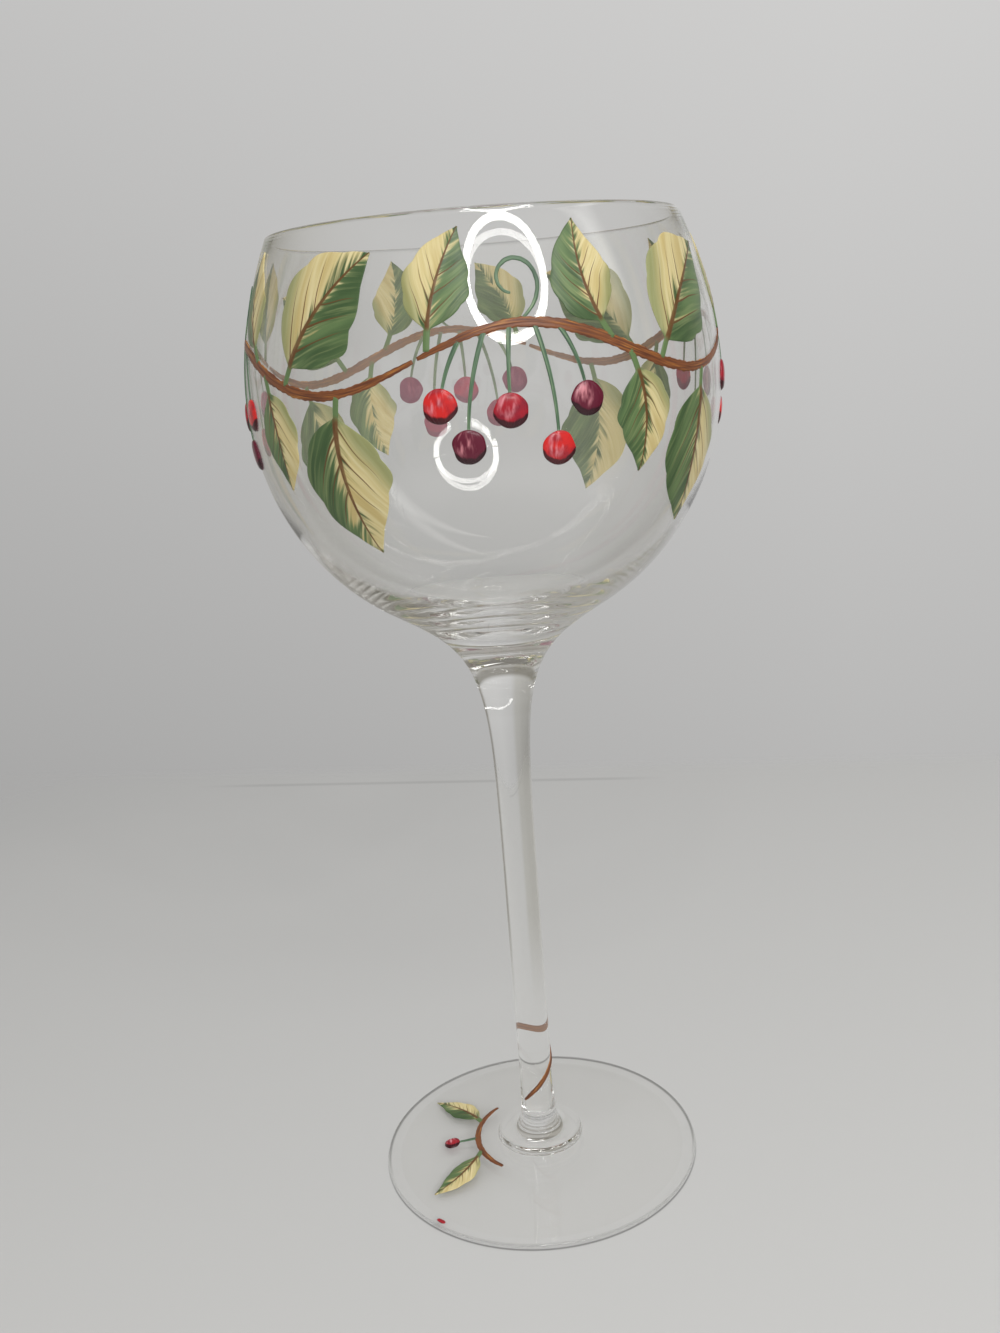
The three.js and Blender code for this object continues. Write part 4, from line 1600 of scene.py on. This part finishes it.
@dataclass(frozen=True)
class Garland:
    """The garland round the bowl: a waved twig in four equal repeats, with leaves, berries and tendrils."""

    bowl: Bowl
    repeats: int = 4
    turn: float = -0.24
    wave: float = 5.5
    twig_half_width: float = 1.1
    twig_tip_half_width: float = 0.35
    crest_place: float = 0.25
    brush_gap: float = 0.45
    berry_radius: float = 3.3
    berry_stalk_length: float = 20.0
    root_depth: float = 0.4
    twig_lanes: int = 16
    twig_waver: float = 0.06
    tendril_length: float = 25.0
    tendril_half_width: float = 0.45
    tendril_heading: float = 40.0
    tendril_curl: float = 5.4
    tendril_tightening: float = 1.6
    tendril_steps: int = 400
    tendril_thickness: float = 0.16
    tendril_lanes: int = 8
    leaf_sway: float = 6.0
    sway_step: float = 2.4
    sway_start: float = 0.6
    leaves: tuple[LeafPlan, ...] = (
        LeafPlan("tall", 0.615, 1, 58, -34, LARGE_LEAF),
        LeafPlan("hanging", 0.79, -1, -106, 28, LARGE_LEAF),
        LeafPlan("leaning", 0.47, 1, 122, -48, SMALL_LEAF),
        LeafPlan("small", 0.52, -1, -70, -36, SMALL_LEAF),
        LeafPlan("upper", 0.03, 1, 84, -30, SMALL_LEAF),
    )
    berries: tuple[BerryPlan, ...] = (
        BerryPlan(0.1, -122, 30, 0.45, (SCARLET, CRIMSON, MAROON, CRIMSON)),
        BerryPlan(0.16, -112, 24, 0.9, (MAROON, SCARLET, CRIMSON, SCARLET)),
        BerryPlan(0.22, -98, 12, 0.6, (CRIMSON, MAROON, SCARLET, CRIMSON)),
        BerryPlan(0.28, -74, -18, 1.0, (SCARLET, CRIMSON, CRIMSON, MAROON)),
        BerryPlan(0.34, -58, -34, 0.55, (MAROON, SCARLET, MAROON, SCARLET)),
    )

    @property
    def pitch(self) -> float:
        """The length of a repeat round the belly."""
        return TURN * self.bowl.radius / self.repeats

    def start(self, repeat: int) -> float:
        """Where a repeat starts in the flat drawing."""
        return repeat * self.pitch + self.turn * self.bowl.radius

    def twig_line(self, x: Numbers) -> Numbers:
        """The twig's height at a distance along its repeat: wave cos(2 pi (x / pitch - crest_place))."""
        return self.wave * np.cos(TURN * (x / self.pitch - self.crest_place))

    def root(self, repeat: int, place: float, side: int) -> Array:
        """Where a stalk springs from the twig: on its upper or its lower half.

        Args:
            repeat: which repeat.
            place: the share of the repeat.
            side: 1 above the twig and -1 below it.

        Returns:
            The point in the flat drawing.
        """
        x = place * self.pitch
        slope = -TURN * self.wave / self.pitch * math.sin(TURN * (place - self.crest_place))
        square = np.array([-slope, 1.0]) / math.hypot(slope, 1)
        on_line = np.array([self.start(repeat) + x, self.twig_line(x)])
        return on_line + square * side * self.twig_half_width * self.root_depth

    def draw_twig(self, repeat: int) -> None:
        """Draw one repeat of the twig."""
        start = self.start(repeat)
        run = self.pitch - 2 * self.brush_gap

        def path(shares: Array) -> Array:
            """The twig's middle line."""
            x = self.brush_gap + run * shares
            return np.stack([start + x, self.twig_line(x)], axis=-1)

        brush = LineBrush(
            enamel_faces(BARK),
            Slot.BARK,
            self.twig_half_width,
            self.twig_tip_half_width,
            lanes=self.twig_lanes,
            waver=self.twig_waver,
        )
        brush.draw(f"twig_{repeat + 1}", path, run, self.bowl.place)

    def paint_leaves(self, repeat: int) -> None:
        """Paint the leaves of one repeat, each a little turned so that no two repeats are alike.

        The turn is leaf_sway sin(sway_step repeat + sway_start).
        """
        sway = self.leaf_sway * math.sin(self.sway_step * repeat + self.sway_start)
        for leaf in self.leaves:
            root = self.root(repeat, leaf.place, leaf.side)
            growth = Growth(root, math.radians(leaf.heading + sway), math.radians(leaf.bend))
            cream_above = math.copysign(1.0, math.cos(growth.heading + growth.bend / 2))
            node = f"leaf_{leaf.name}_{repeat + 1}"
            leaf.shape.paint(node, growth, cream_above, self.bowl.place)

    def paint_berries(self, repeat: int) -> None:
        """Paint the fan of berries that hangs from one repeat."""
        for number, berry in enumerate(self.berries, start=1):
            root = self.root(repeat, berry.place, -1)
            growth = Growth(root, math.radians(berry.heading), math.radians(berry.bend))
            shape = BerryShape(self.berry_radius, self.berry_stalk_length * berry.stalk_share)
            node = f"berry_{repeat + 1}_{number}"
            shape.paint(node, growth, berry.tones[repeat], self.bowl.place)

    def draw_tendril(self, repeat: int) -> None:
        """Draw a tendril that starts as an easy arc and winds up ever more tightly.

        Its direction at a share s is heading + curl s^tightening. Its points are the running sum of steps.
        """
        root = self.root(repeat, self.crest_place, 1)
        share = (np.arange(self.tendril_steps) + 0.5) / self.tendril_steps
        direction = math.radians(self.tendril_heading) + self.tendril_curl * share**self.tendril_tightening
        stride = on_circle(self.tendril_length / self.tendril_steps, direction)
        line = np.concatenate([root[None], root + np.cumsum(stride, axis=0)])
        places = np.linspace(0, 1, self.tendril_steps + 1)

        def path(shares: Array) -> Array:
            """The place after a share of the points."""
            return np.stack([np.interp(shares, places, column) for column in line.T], axis=-1)

        brush = LineBrush(
            enamel_faces(STALK),
            Slot.STALK,
            self.tendril_half_width,
            self.tendril_half_width / 2,
            thickness=self.tendril_thickness,
            lanes=self.tendril_lanes,
        )
        brush.draw(f"tendril_{repeat + 1}", path, self.tendril_length, self.bowl.place)

    def build(self) -> None:
        """Paint the whole garland."""
        for repeat in range(self.repeats):
            self.draw_twig(repeat)
            self.paint_leaves(repeat)
            self.paint_berries(repeat)
            self.draw_tendril(repeat)


@dataclass(frozen=True)
class WindingStroke:
    """The brown stroke that winds up the lower end of the stem. Millimetres, and degrees from the front."""

    stem: Stem
    start: float = 7.0
    rise: float = 23.0
    turn: float = 290.0
    place: float = -50.0
    half_width: float = 0.75

    def build(self) -> None:
        """Draw the stroke: a helix whose angle and height both grow evenly."""
        arc = math.radians(self.turn) * self.stem.radius

        def path(shares: Array) -> Array:
            """The helix, laid flat."""
            around = math.radians(self.place) * self.stem.radius + arc * shares
            return np.stack([around, self.start + self.rise * shares], axis=-1)

        brush = LineBrush(enamel_faces(BARK), Slot.BARK, self.half_width, self.half_width / 3)
        brush.draw("stem_stroke", path, math.hypot(arc, self.rise), self.stem.place)


@dataclass(frozen=True)
class FootSprig:
    """The sprig beside the hub, and a dab of red on the foot's edge.

    Millimetres, and degrees anticlockwise from +X as seen from above.
    """

    foot: Foot
    hub_clearance: float = 5.5
    place: float = 182.0
    span: float = 100.0
    twig_half_width: float = 0.75
    leaves: tuple[LeafPlan, ...] = (
        LeafPlan("back", -0.25, -1, -38, 30, FOOT_LEAF),
        LeafPlan("front", 0.2, 1, 42, -30, FOOT_LEAF),
    )
    berry_radius: float = 2.0
    berry_crown: float = 0.4
    berry_stalk_length: float = 4.0
    brush_gap: float = 0.45
    dab_place: float = -131.0
    dab_length: float = 2.4
    dab_half_width: float = 0.5
    dab_thickness: float = 0.14
    dab_edge_clearance: float = 0.2

    @property
    def twig_radius(self) -> float:
        """The radius of the twig's arc round the stem."""
        return self.foot.hub_radius + self.hub_clearance

    def root(self, angle: float) -> Array:
        """Where a stalk springs from the twig's outer side, at an angle in radians."""
        return on_circle(self.twig_radius + self.twig_half_width / 2, np.array(angle))

    def build(self) -> None:
        """Paint the twig, its two leaves and its berry, and the dab."""
        span = math.radians(self.span)
        place = math.radians(self.place)

        def twig_path(shares: Array) -> Array:
            """The twig's arc round the hub."""
            return on_circle(self.twig_radius, place + span * (shares - 0.5))

        brush = LineBrush(enamel_faces(BARK), Slot.BARK, self.twig_half_width, self.twig_half_width / 2)
        brush.draw("foot_twig", twig_path, self.twig_radius * span, self.foot.place)
        for leaf in self.leaves:
            angle = place + span * leaf.place
            growth = Growth(self.root(angle), angle + math.radians(leaf.heading), math.radians(leaf.bend))
            leaf.shape.paint(f"foot_leaf_{leaf.name}", growth, leaf.side, self.foot.place)
        berry = BerryShape(self.berry_radius, self.berry_stalk_length + self.brush_gap, self.berry_crown)
        growth = Growth(self.root(place), place, 0.0)
        berry.paint("foot_berry", growth, CRIMSON, self.foot.place)
        self.dab()

    def dab(self) -> None:
        """Paint the short dab of red where the upper face meets the edge."""
        radius = self.foot.flat_radius - self.dab_half_width - self.dab_edge_clearance
        span = self.dab_length / radius

        def path(shares: Array) -> Array:
            """The dab's arc along the edge."""
            return on_circle(radius, math.radians(self.dab_place) + span * (shares - 0.5))

        tip = self.dab_half_width / 2
        brush = LineBrush(enamel_faces(RED_DAB), Slot.BERRY, self.dab_half_width, tip, self.dab_thickness)
        brush.draw("foot_dab", path, self.dab_length, self.foot.place)


# Studio


@dataclass(frozen=True)
class Studio:
    """A pale floor, a soft pale room, a ring lamp above the camera, and the camera. Metres and degrees."""

    backdrop: float = 0.527
    # painted light: the backdrop brightens to the right and upwards
    backdrop_rightward: float = 0.155
    backdrop_reach: float = 0.26
    backdrop_upward: float = 0.26
    warmth: Colour = (1.0, 0.994, 0.984, 1.0)
    floor: Colour = painted(199, 199, 198)
    # painted light: the floor brightens to the right and darkens away from the camera
    floor_rightward: float = 0.236
    floor_away: float = -0.209
    floor_radius: float = 1.4
    floor_fade: Step = (0.28, 0.5)
    fold_distance: float = 0.283
    fold_slant: float = 0.165
    fold_fade: Step = (0.003, 0.03)
    # painted shade: a thin dark line along the backdrop's fold
    fold_line: Step = (0.0028, 0.0005)
    fold_line_left: Step = (-0.16, -0.12)
    fold_line_right: Step = (0.04, 0.075)
    fold_line_shade: float = 0.13
    sky_low: Colour = (0.5, 0.5, 0.5, 1.0)
    sky_high: Colour = (0.85, 0.85, 0.85, 1.0)
    plain: Colour = (1.0, 1.0, 1.0, 1.0)
    upper_wall: Colour = (0.26, 0.25, 0.225, 1.0)
    upper_wall_height: Step = (0.18, 0.28)
    high_wall: Colour = (0.44, 0.43, 0.41, 1.0)
    high_wall_height: Step = (0.4, 0.55)
    overhead: Colour = (0.18, 0.17, 0.15, 1.0)
    overhead_height: Step = (0.74, 0.86)
    right_side: Colour = (0.38, 0.36, 0.32, 1.0)
    right_side_angle: Step = (46.0, 62.0)
    left_side: Colour = (0.86, 0.85, 0.81, 1.0)
    left_side_angle: Step = (4.0, 14.0)
    front_side_angle: Step = (105.0, 130.0)
    window: Colour = (1.9, 1.9, 1.84, 1.0)
    window_azimuth: float = 107.0
    window_half_width: Step = (9.0, 1.0)
    window_height: Step = (0.15, 0.4)
    far_floor: Step = (0.06, 0.15)
    # painted shadow: a thin dark ring on the floor under the foot's edge
    contact_inner: Step = (0.0392, 0.0397)
    contact_outer: Step = (0.04, 0.0405)
    contact_shade: float = 0.55
    lamp_colour: Colour = (1.0, 0.99, 0.97, 1.0)
    lamp_azimuth: float = 14.7
    lamp_elevation: float = 32.3
    lamp_distance: float = 0.6
    lamp_target_height: float = 0.197
    lamp_radius: float = 0.176
    lamp_half_band: float = 0.0165
    lamp_strength: float = 18.0
    ring_points: int = 128
    camera_place: tuple[float, float, float] = (0.0, -0.294145, 0.207282)
    camera_pitch: float = 14.632
    camera_roll: float = -4.4025
    camera_yaw: float = -0.2302
    camera_nearest: float = 0.01
    camera_farthest: float = 20.0
    frame_height: float = 1333.0
    focal_length: float = 1280.0
    sensor: float = 36.0
    bounces: int = 64

    @staticmethod
    def is_bent(sketch: Sketch) -> Socket:
        """1 for rays that glass bends or reflects, and 0 for all others."""
        rays = sketch.node("ShaderNodeLightPath").outputs
        return sketch.maths("ADD", rays["Is Glossy Ray"], rays["Is Transmission Ray"], clamp=True)

    def round_about(self, sketch: Sketch, x: Socket, y: Socket, behind: Socket) -> Socket:
        """The tone that bent rays see all round: the one behind the goblet, with darker sides.

        Args:
            sketch: the node tree.
            x, y: the place or direction that the ray meets.
            behind: the tone behind the goblet.

        Returns:
            The tone.
        """
        angle = sketch.maths("ARCTAN2", x, y)
        share = self.plain
        for measure, limits, shade in (
            (angle, self.right_side_angle, self.right_side),
            (sketch.maths("MULTIPLY", angle, -1.0), self.left_side_angle, self.left_side),
            (sketch.maths("ABSOLUTE", angle), self.front_side_angle, self.plain),
        ):
            share = sketch.mix(sketch.ramp(measure, *map(math.radians, limits)), share, shade)
        return sketch.tinted(behind, share)

    def cloth_colour(
        self, sketch: Sketch, x: Socket, y: Socket, distance: Socket, past_fold: Socket
    ) -> Socket:
        """The floor's colour.

        Painted light makes it brighter to the right and darker away from the camera. Farther out, bent rays
        see the room's sides in it. A thin painted shadow lies under the foot's edge, and a thin line of
        painted shade lies along the backdrop's fold.

        Args:
            sketch: the node tree.
            x, y: the place on the floor.
            distance: how far it is from the goblet's axis.
            past_fold: how far it is past the fold.

        Returns:
            The colour.
        """
        maths = sketch.maths
        # painted light: the floor brightens to the right and darkens away from the camera
        rightward = maths("MULTIPLY_ADD", x, self.floor_rightward, 1.0)
        near = sketch.tinted(self.floor, maths("MULTIPLY_ADD", y, self.floor_away, rightward))
        far = maths("MULTIPLY", self.is_bent(sketch), sketch.ramp(distance, *self.far_floor))
        colour = sketch.mix(far, near, self.round_about(sketch, x, y, near))
        # painted shadow: a thin dark ring on the floor under the foot's edge
        painted_edge_shadow = sketch.band(distance, self.contact_inner, self.contact_outer)
        colour = sketch.shaded(colour, painted_edge_shadow, self.contact_shade)
        # painted shade: a thin dark line along the backdrop's fold
        line = sketch.ramp(maths("ABSOLUTE", past_fold), *self.fold_line)
        line = maths("MULTIPLY", line, sketch.band(x, self.fold_line_left, self.fold_line_right))
        return sketch.shaded(colour, line, self.fold_line_shade)

    def lay_floor(self) -> None:
        """Lay a pale disc that fades out past the backdrop's fold and far from the goblet."""
        points = np.zeros((self.ring_points + 1, 3))
        points[:-1, :2] = on_circle(self.floor_radius / METRES, round_angles(self.ring_points))
        plan = MeshPlan(points)
        number = np.arange(self.ring_points)
        middle = np.full(self.ring_points, self.ring_points)
        plan.add(np.stack([middle, number, np.roll(number, -1)], axis=1))

        material, sketch = new_material("pale_floor")
        place = sketch.node("ShaderNodeTexCoord").outputs["Object"]
        x, y, _ = sketch.node("ShaderNodeSeparateXYZ", {0: place}).outputs
        distance = sketch.node("ShaderNodeVectorMath", {0: place}, operation="LENGTH").outputs["Value"]
        slanted = sketch.maths("MULTIPLY_ADD", x, self.fold_slant, y)
        past_fold = sketch.maths("SUBTRACT", slanted, self.fold_distance)
        far_out = sketch.ramp(distance, *self.floor_fade)
        fade = sketch.maths("MAXIMUM", far_out, sketch.ramp(past_fold, *self.fold_fade))
        colour = self.cloth_colour(sketch, x, y, distance, past_fold)
        cloth = sketch.node("ShaderNodeBsdfDiffuse", {"Color": colour}).outputs[0]
        clear = sketch.node("ShaderNodeBsdfTransparent").outputs[0]
        mixed = sketch.node("ShaderNodeMixShader", {0: fade, 1: cloth, 2: clear}).outputs[0]
        sketch.node("ShaderNodeOutputMaterial", {0: mixed})
        plan.build("floor", [material])

    def mirrored_room(self, sketch: Sketch, direction: Socket, backdrop: Socket) -> Socket:
        """The room as bent rays see it.

        Behind the goblet it is the backdrop, with darker sides, a dark band above it, a lighter high wall,
        a dark ceiling, and a tall soft window at the front right.

        Args:
            sketch: the node tree.
            direction: the ray's direction.
            backdrop: the backdrop's tone.

        Returns:
            The tone.
        """
        x, y, height = sketch.node("ShaderNodeSeparateXYZ", {0: direction}).outputs
        behind = sketch.mix(sketch.ramp(height, *self.upper_wall_height), backdrop, self.upper_wall)
        behind = sketch.mix(sketch.ramp(height, *self.high_wall_height), behind, self.high_wall)
        seen = self.round_about(sketch, x, y, behind)
        seen = sketch.mix(sketch.ramp(height, *self.overhead_height), seen, self.overhead)
        azimuth = sketch.maths("ARCTAN2", x, y)
        aside = sketch.maths("SUBTRACT", azimuth, math.radians(self.window_azimuth))
        pane = sketch.ramp(sketch.maths("ABSOLUTE", aside), *map(math.radians, self.window_half_width))
        pane = sketch.maths("MULTIPLY", pane, sketch.ramp(height, *self.window_height))
        return sketch.mix(pane, seen, self.window)

    def light_room(self) -> None:
        """Light the room.

        Camera rays see a backdrop with painted light that brightens it to the right and upwards: backdrop +
        backdrop_rightward x + backdrop_upward z, with x and z of the ray's direction, and x at most
        backdrop_reach. Rays that glass bends or reflects see the mirrored room. All other rays see a soft
        even sky, brighter overhead.
        """
        world = bpy.data.worlds.new("soft_room")
        bpy.context.scene.world = world
        world.use_nodes = True
        sketch = Sketch(world.node_tree)
        maths = sketch.maths
        direction = sketch.node("ShaderNodeTexCoord").outputs["Generated"]
        x, _, height = sketch.node("ShaderNodeSeparateXYZ", {0: direction}).outputs
        # painted light: the backdrop brightens to the right and upwards
        reach = maths("MINIMUM", x, self.backdrop_reach)
        slope = maths("MULTIPLY_ADD", reach, self.backdrop_rightward, self.backdrop)
        backdrop = maths("MULTIPLY_ADD", height, self.backdrop_upward, slope)
        sky = sketch.mix(maths("MAXIMUM", height, 0.0), self.sky_low, self.sky_high)
        tone = sketch.mix(self.is_bent(sketch), sky, self.mirrored_room(sketch, direction, backdrop))
        camera_ray = sketch.node("ShaderNodeLightPath").outputs["Is Camera Ray"]
        colour = sketch.tinted(sketch.mix(camera_ray, tone, backdrop), self.warmth)
        shader = sketch.node("ShaderNodeBackground", {"Color": colour, "Strength": 1.0}).outputs[0]
        sketch.node("ShaderNodeOutputWorld", {0: shader})

    def hang_ring_lamp(self) -> None:
        """Hang a flat glowing ring that faces the bowl. Only the goblet's reflections show it."""
        azimuth = math.radians(self.lamp_azimuth)
        elevation = math.radians(self.lamp_elevation)
        rightward = np.array([math.cos(azimuth), math.sin(azimuth), 0.0])
        towards_camera = np.array([math.sin(azimuth), -math.cos(azimuth), 0.0])
        outward = towards_camera * math.cos(elevation) + [0, 0, math.sin(elevation)]
        upward = np.cross(outward, rightward)
        middle = outward * self.lamp_distance + [0, 0, self.lamp_target_height]
        spoke = on_circle(1.0, round_angles(self.ring_points)) @ np.stack([rightward, upward])
        rings = [middle + spoke * (self.lamp_radius + side * self.lamp_half_band) for side in (-1, 1)]
        plan = MeshPlan(np.concatenate(rings) / METRES)
        inner = np.arange(self.ring_points)
        outer = inner + self.ring_points
        plan.add(np.stack([inner, outer, np.roll(outer, -1), np.roll(inner, -1)], axis=1))

        material, sketch = new_material("ring_lamp")
        light = {"Color": self.lamp_colour, "Strength": self.lamp_strength}
        glow = sketch.node("ShaderNodeEmission", light).outputs[0]
        sketch.node("ShaderNodeOutputMaterial", {0: glow})
        lamp = plan.build("ring_lamp", [material])
        lamp.visible_camera = False

    def set_camera(self) -> None:
        """Set the camera where the photographer stood."""
        angles = (self.camera_pitch, self.camera_roll, self.camera_yaw)
        pitch, roll, yaw = (math.radians(angle) for angle in angles)
        ahead = np.array([math.sin(yaw), math.cos(yaw), 0.0])
        forward = ahead * math.cos(pitch) - [0, 0, math.sin(pitch)]
        level = np.array([math.cos(yaw), -math.sin(yaw), 0.0])
        above = np.cross(level, forward)
        right = math.cos(roll) * level + math.sin(roll) * above
        up = -math.sin(roll) * level + math.cos(roll) * above
        data = bpy.data.cameras.new("camera")
        data.sensor_width = self.sensor
        data.lens = self.focal_length / self.frame_height * self.sensor
        data.clip_start = self.camera_nearest
        data.clip_end = self.camera_farthest
        camera = bpy.data.objects.new("camera", data)
        bpy.context.scene.collection.objects.link(camera)
        axes = np.stack([right, up, -forward, np.array(self.camera_place)], axis=1)
        camera.matrix_world = Matrix([*axes.tolist(), [0, 0, 0, 1]])
        bpy.context.scene.camera = camera

    def build(self) -> None:
        """Set up the whole studio."""
        self.set_camera()
        self.lay_floor()
        self.light_room()
        self.hang_ring_lamp()
        scene = bpy.context.scene
        scene.view_settings.view_transform = "Standard"
        scene.cycles.max_bounces = self.bounces
        scene.cycles.transmission_bounces = self.bounces
        scene.cycles.glossy_bounces = self.bounces
        scene.cycles.transparent_max_bounces = self.bounces


@dataclass(frozen=True)
class Goblet:
    """The whole goblet, from the foot up."""

    foot: Foot = Foot()
    stem: Stem = Stem()
    bowl: Bowl = Bowl()

    def check_sizes(self) -> None:
        """Report a glass piece whose section doesn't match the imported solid."""
        for node, profile in (
            ("foot", self.foot.profile(self.stem)),
            ("stem", self.stem.profile()),
            ("bowl", self.bowl.profile(self.stem)),
        ):
            radius, top = profile.max(axis=0)
            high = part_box(node)[1] / METRES
            if max(abs(high.x - radius), abs(high.z - top)) > BOX_TOLERANCE:
                log.warning("%s: the solid reaches %s, not %s and %s", node, tuple(high), radius, top)

    def build(self) -> None:
        """Build every piece."""
        self.check_sizes()
        self.foot.build(self.stem)
        self.stem.build()
        self.bowl.build(self.stem)
        Garland(self.bowl).build()
        WindingStroke(self.stem).build()
        FootSprig(self.foot).build()


def main() -> None:
    logging.basicConfig(level=logging.INFO, format="%(message)s")
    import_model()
    Studio().build()
    Goblet().build()


if __name__ == "__main__":
    main()
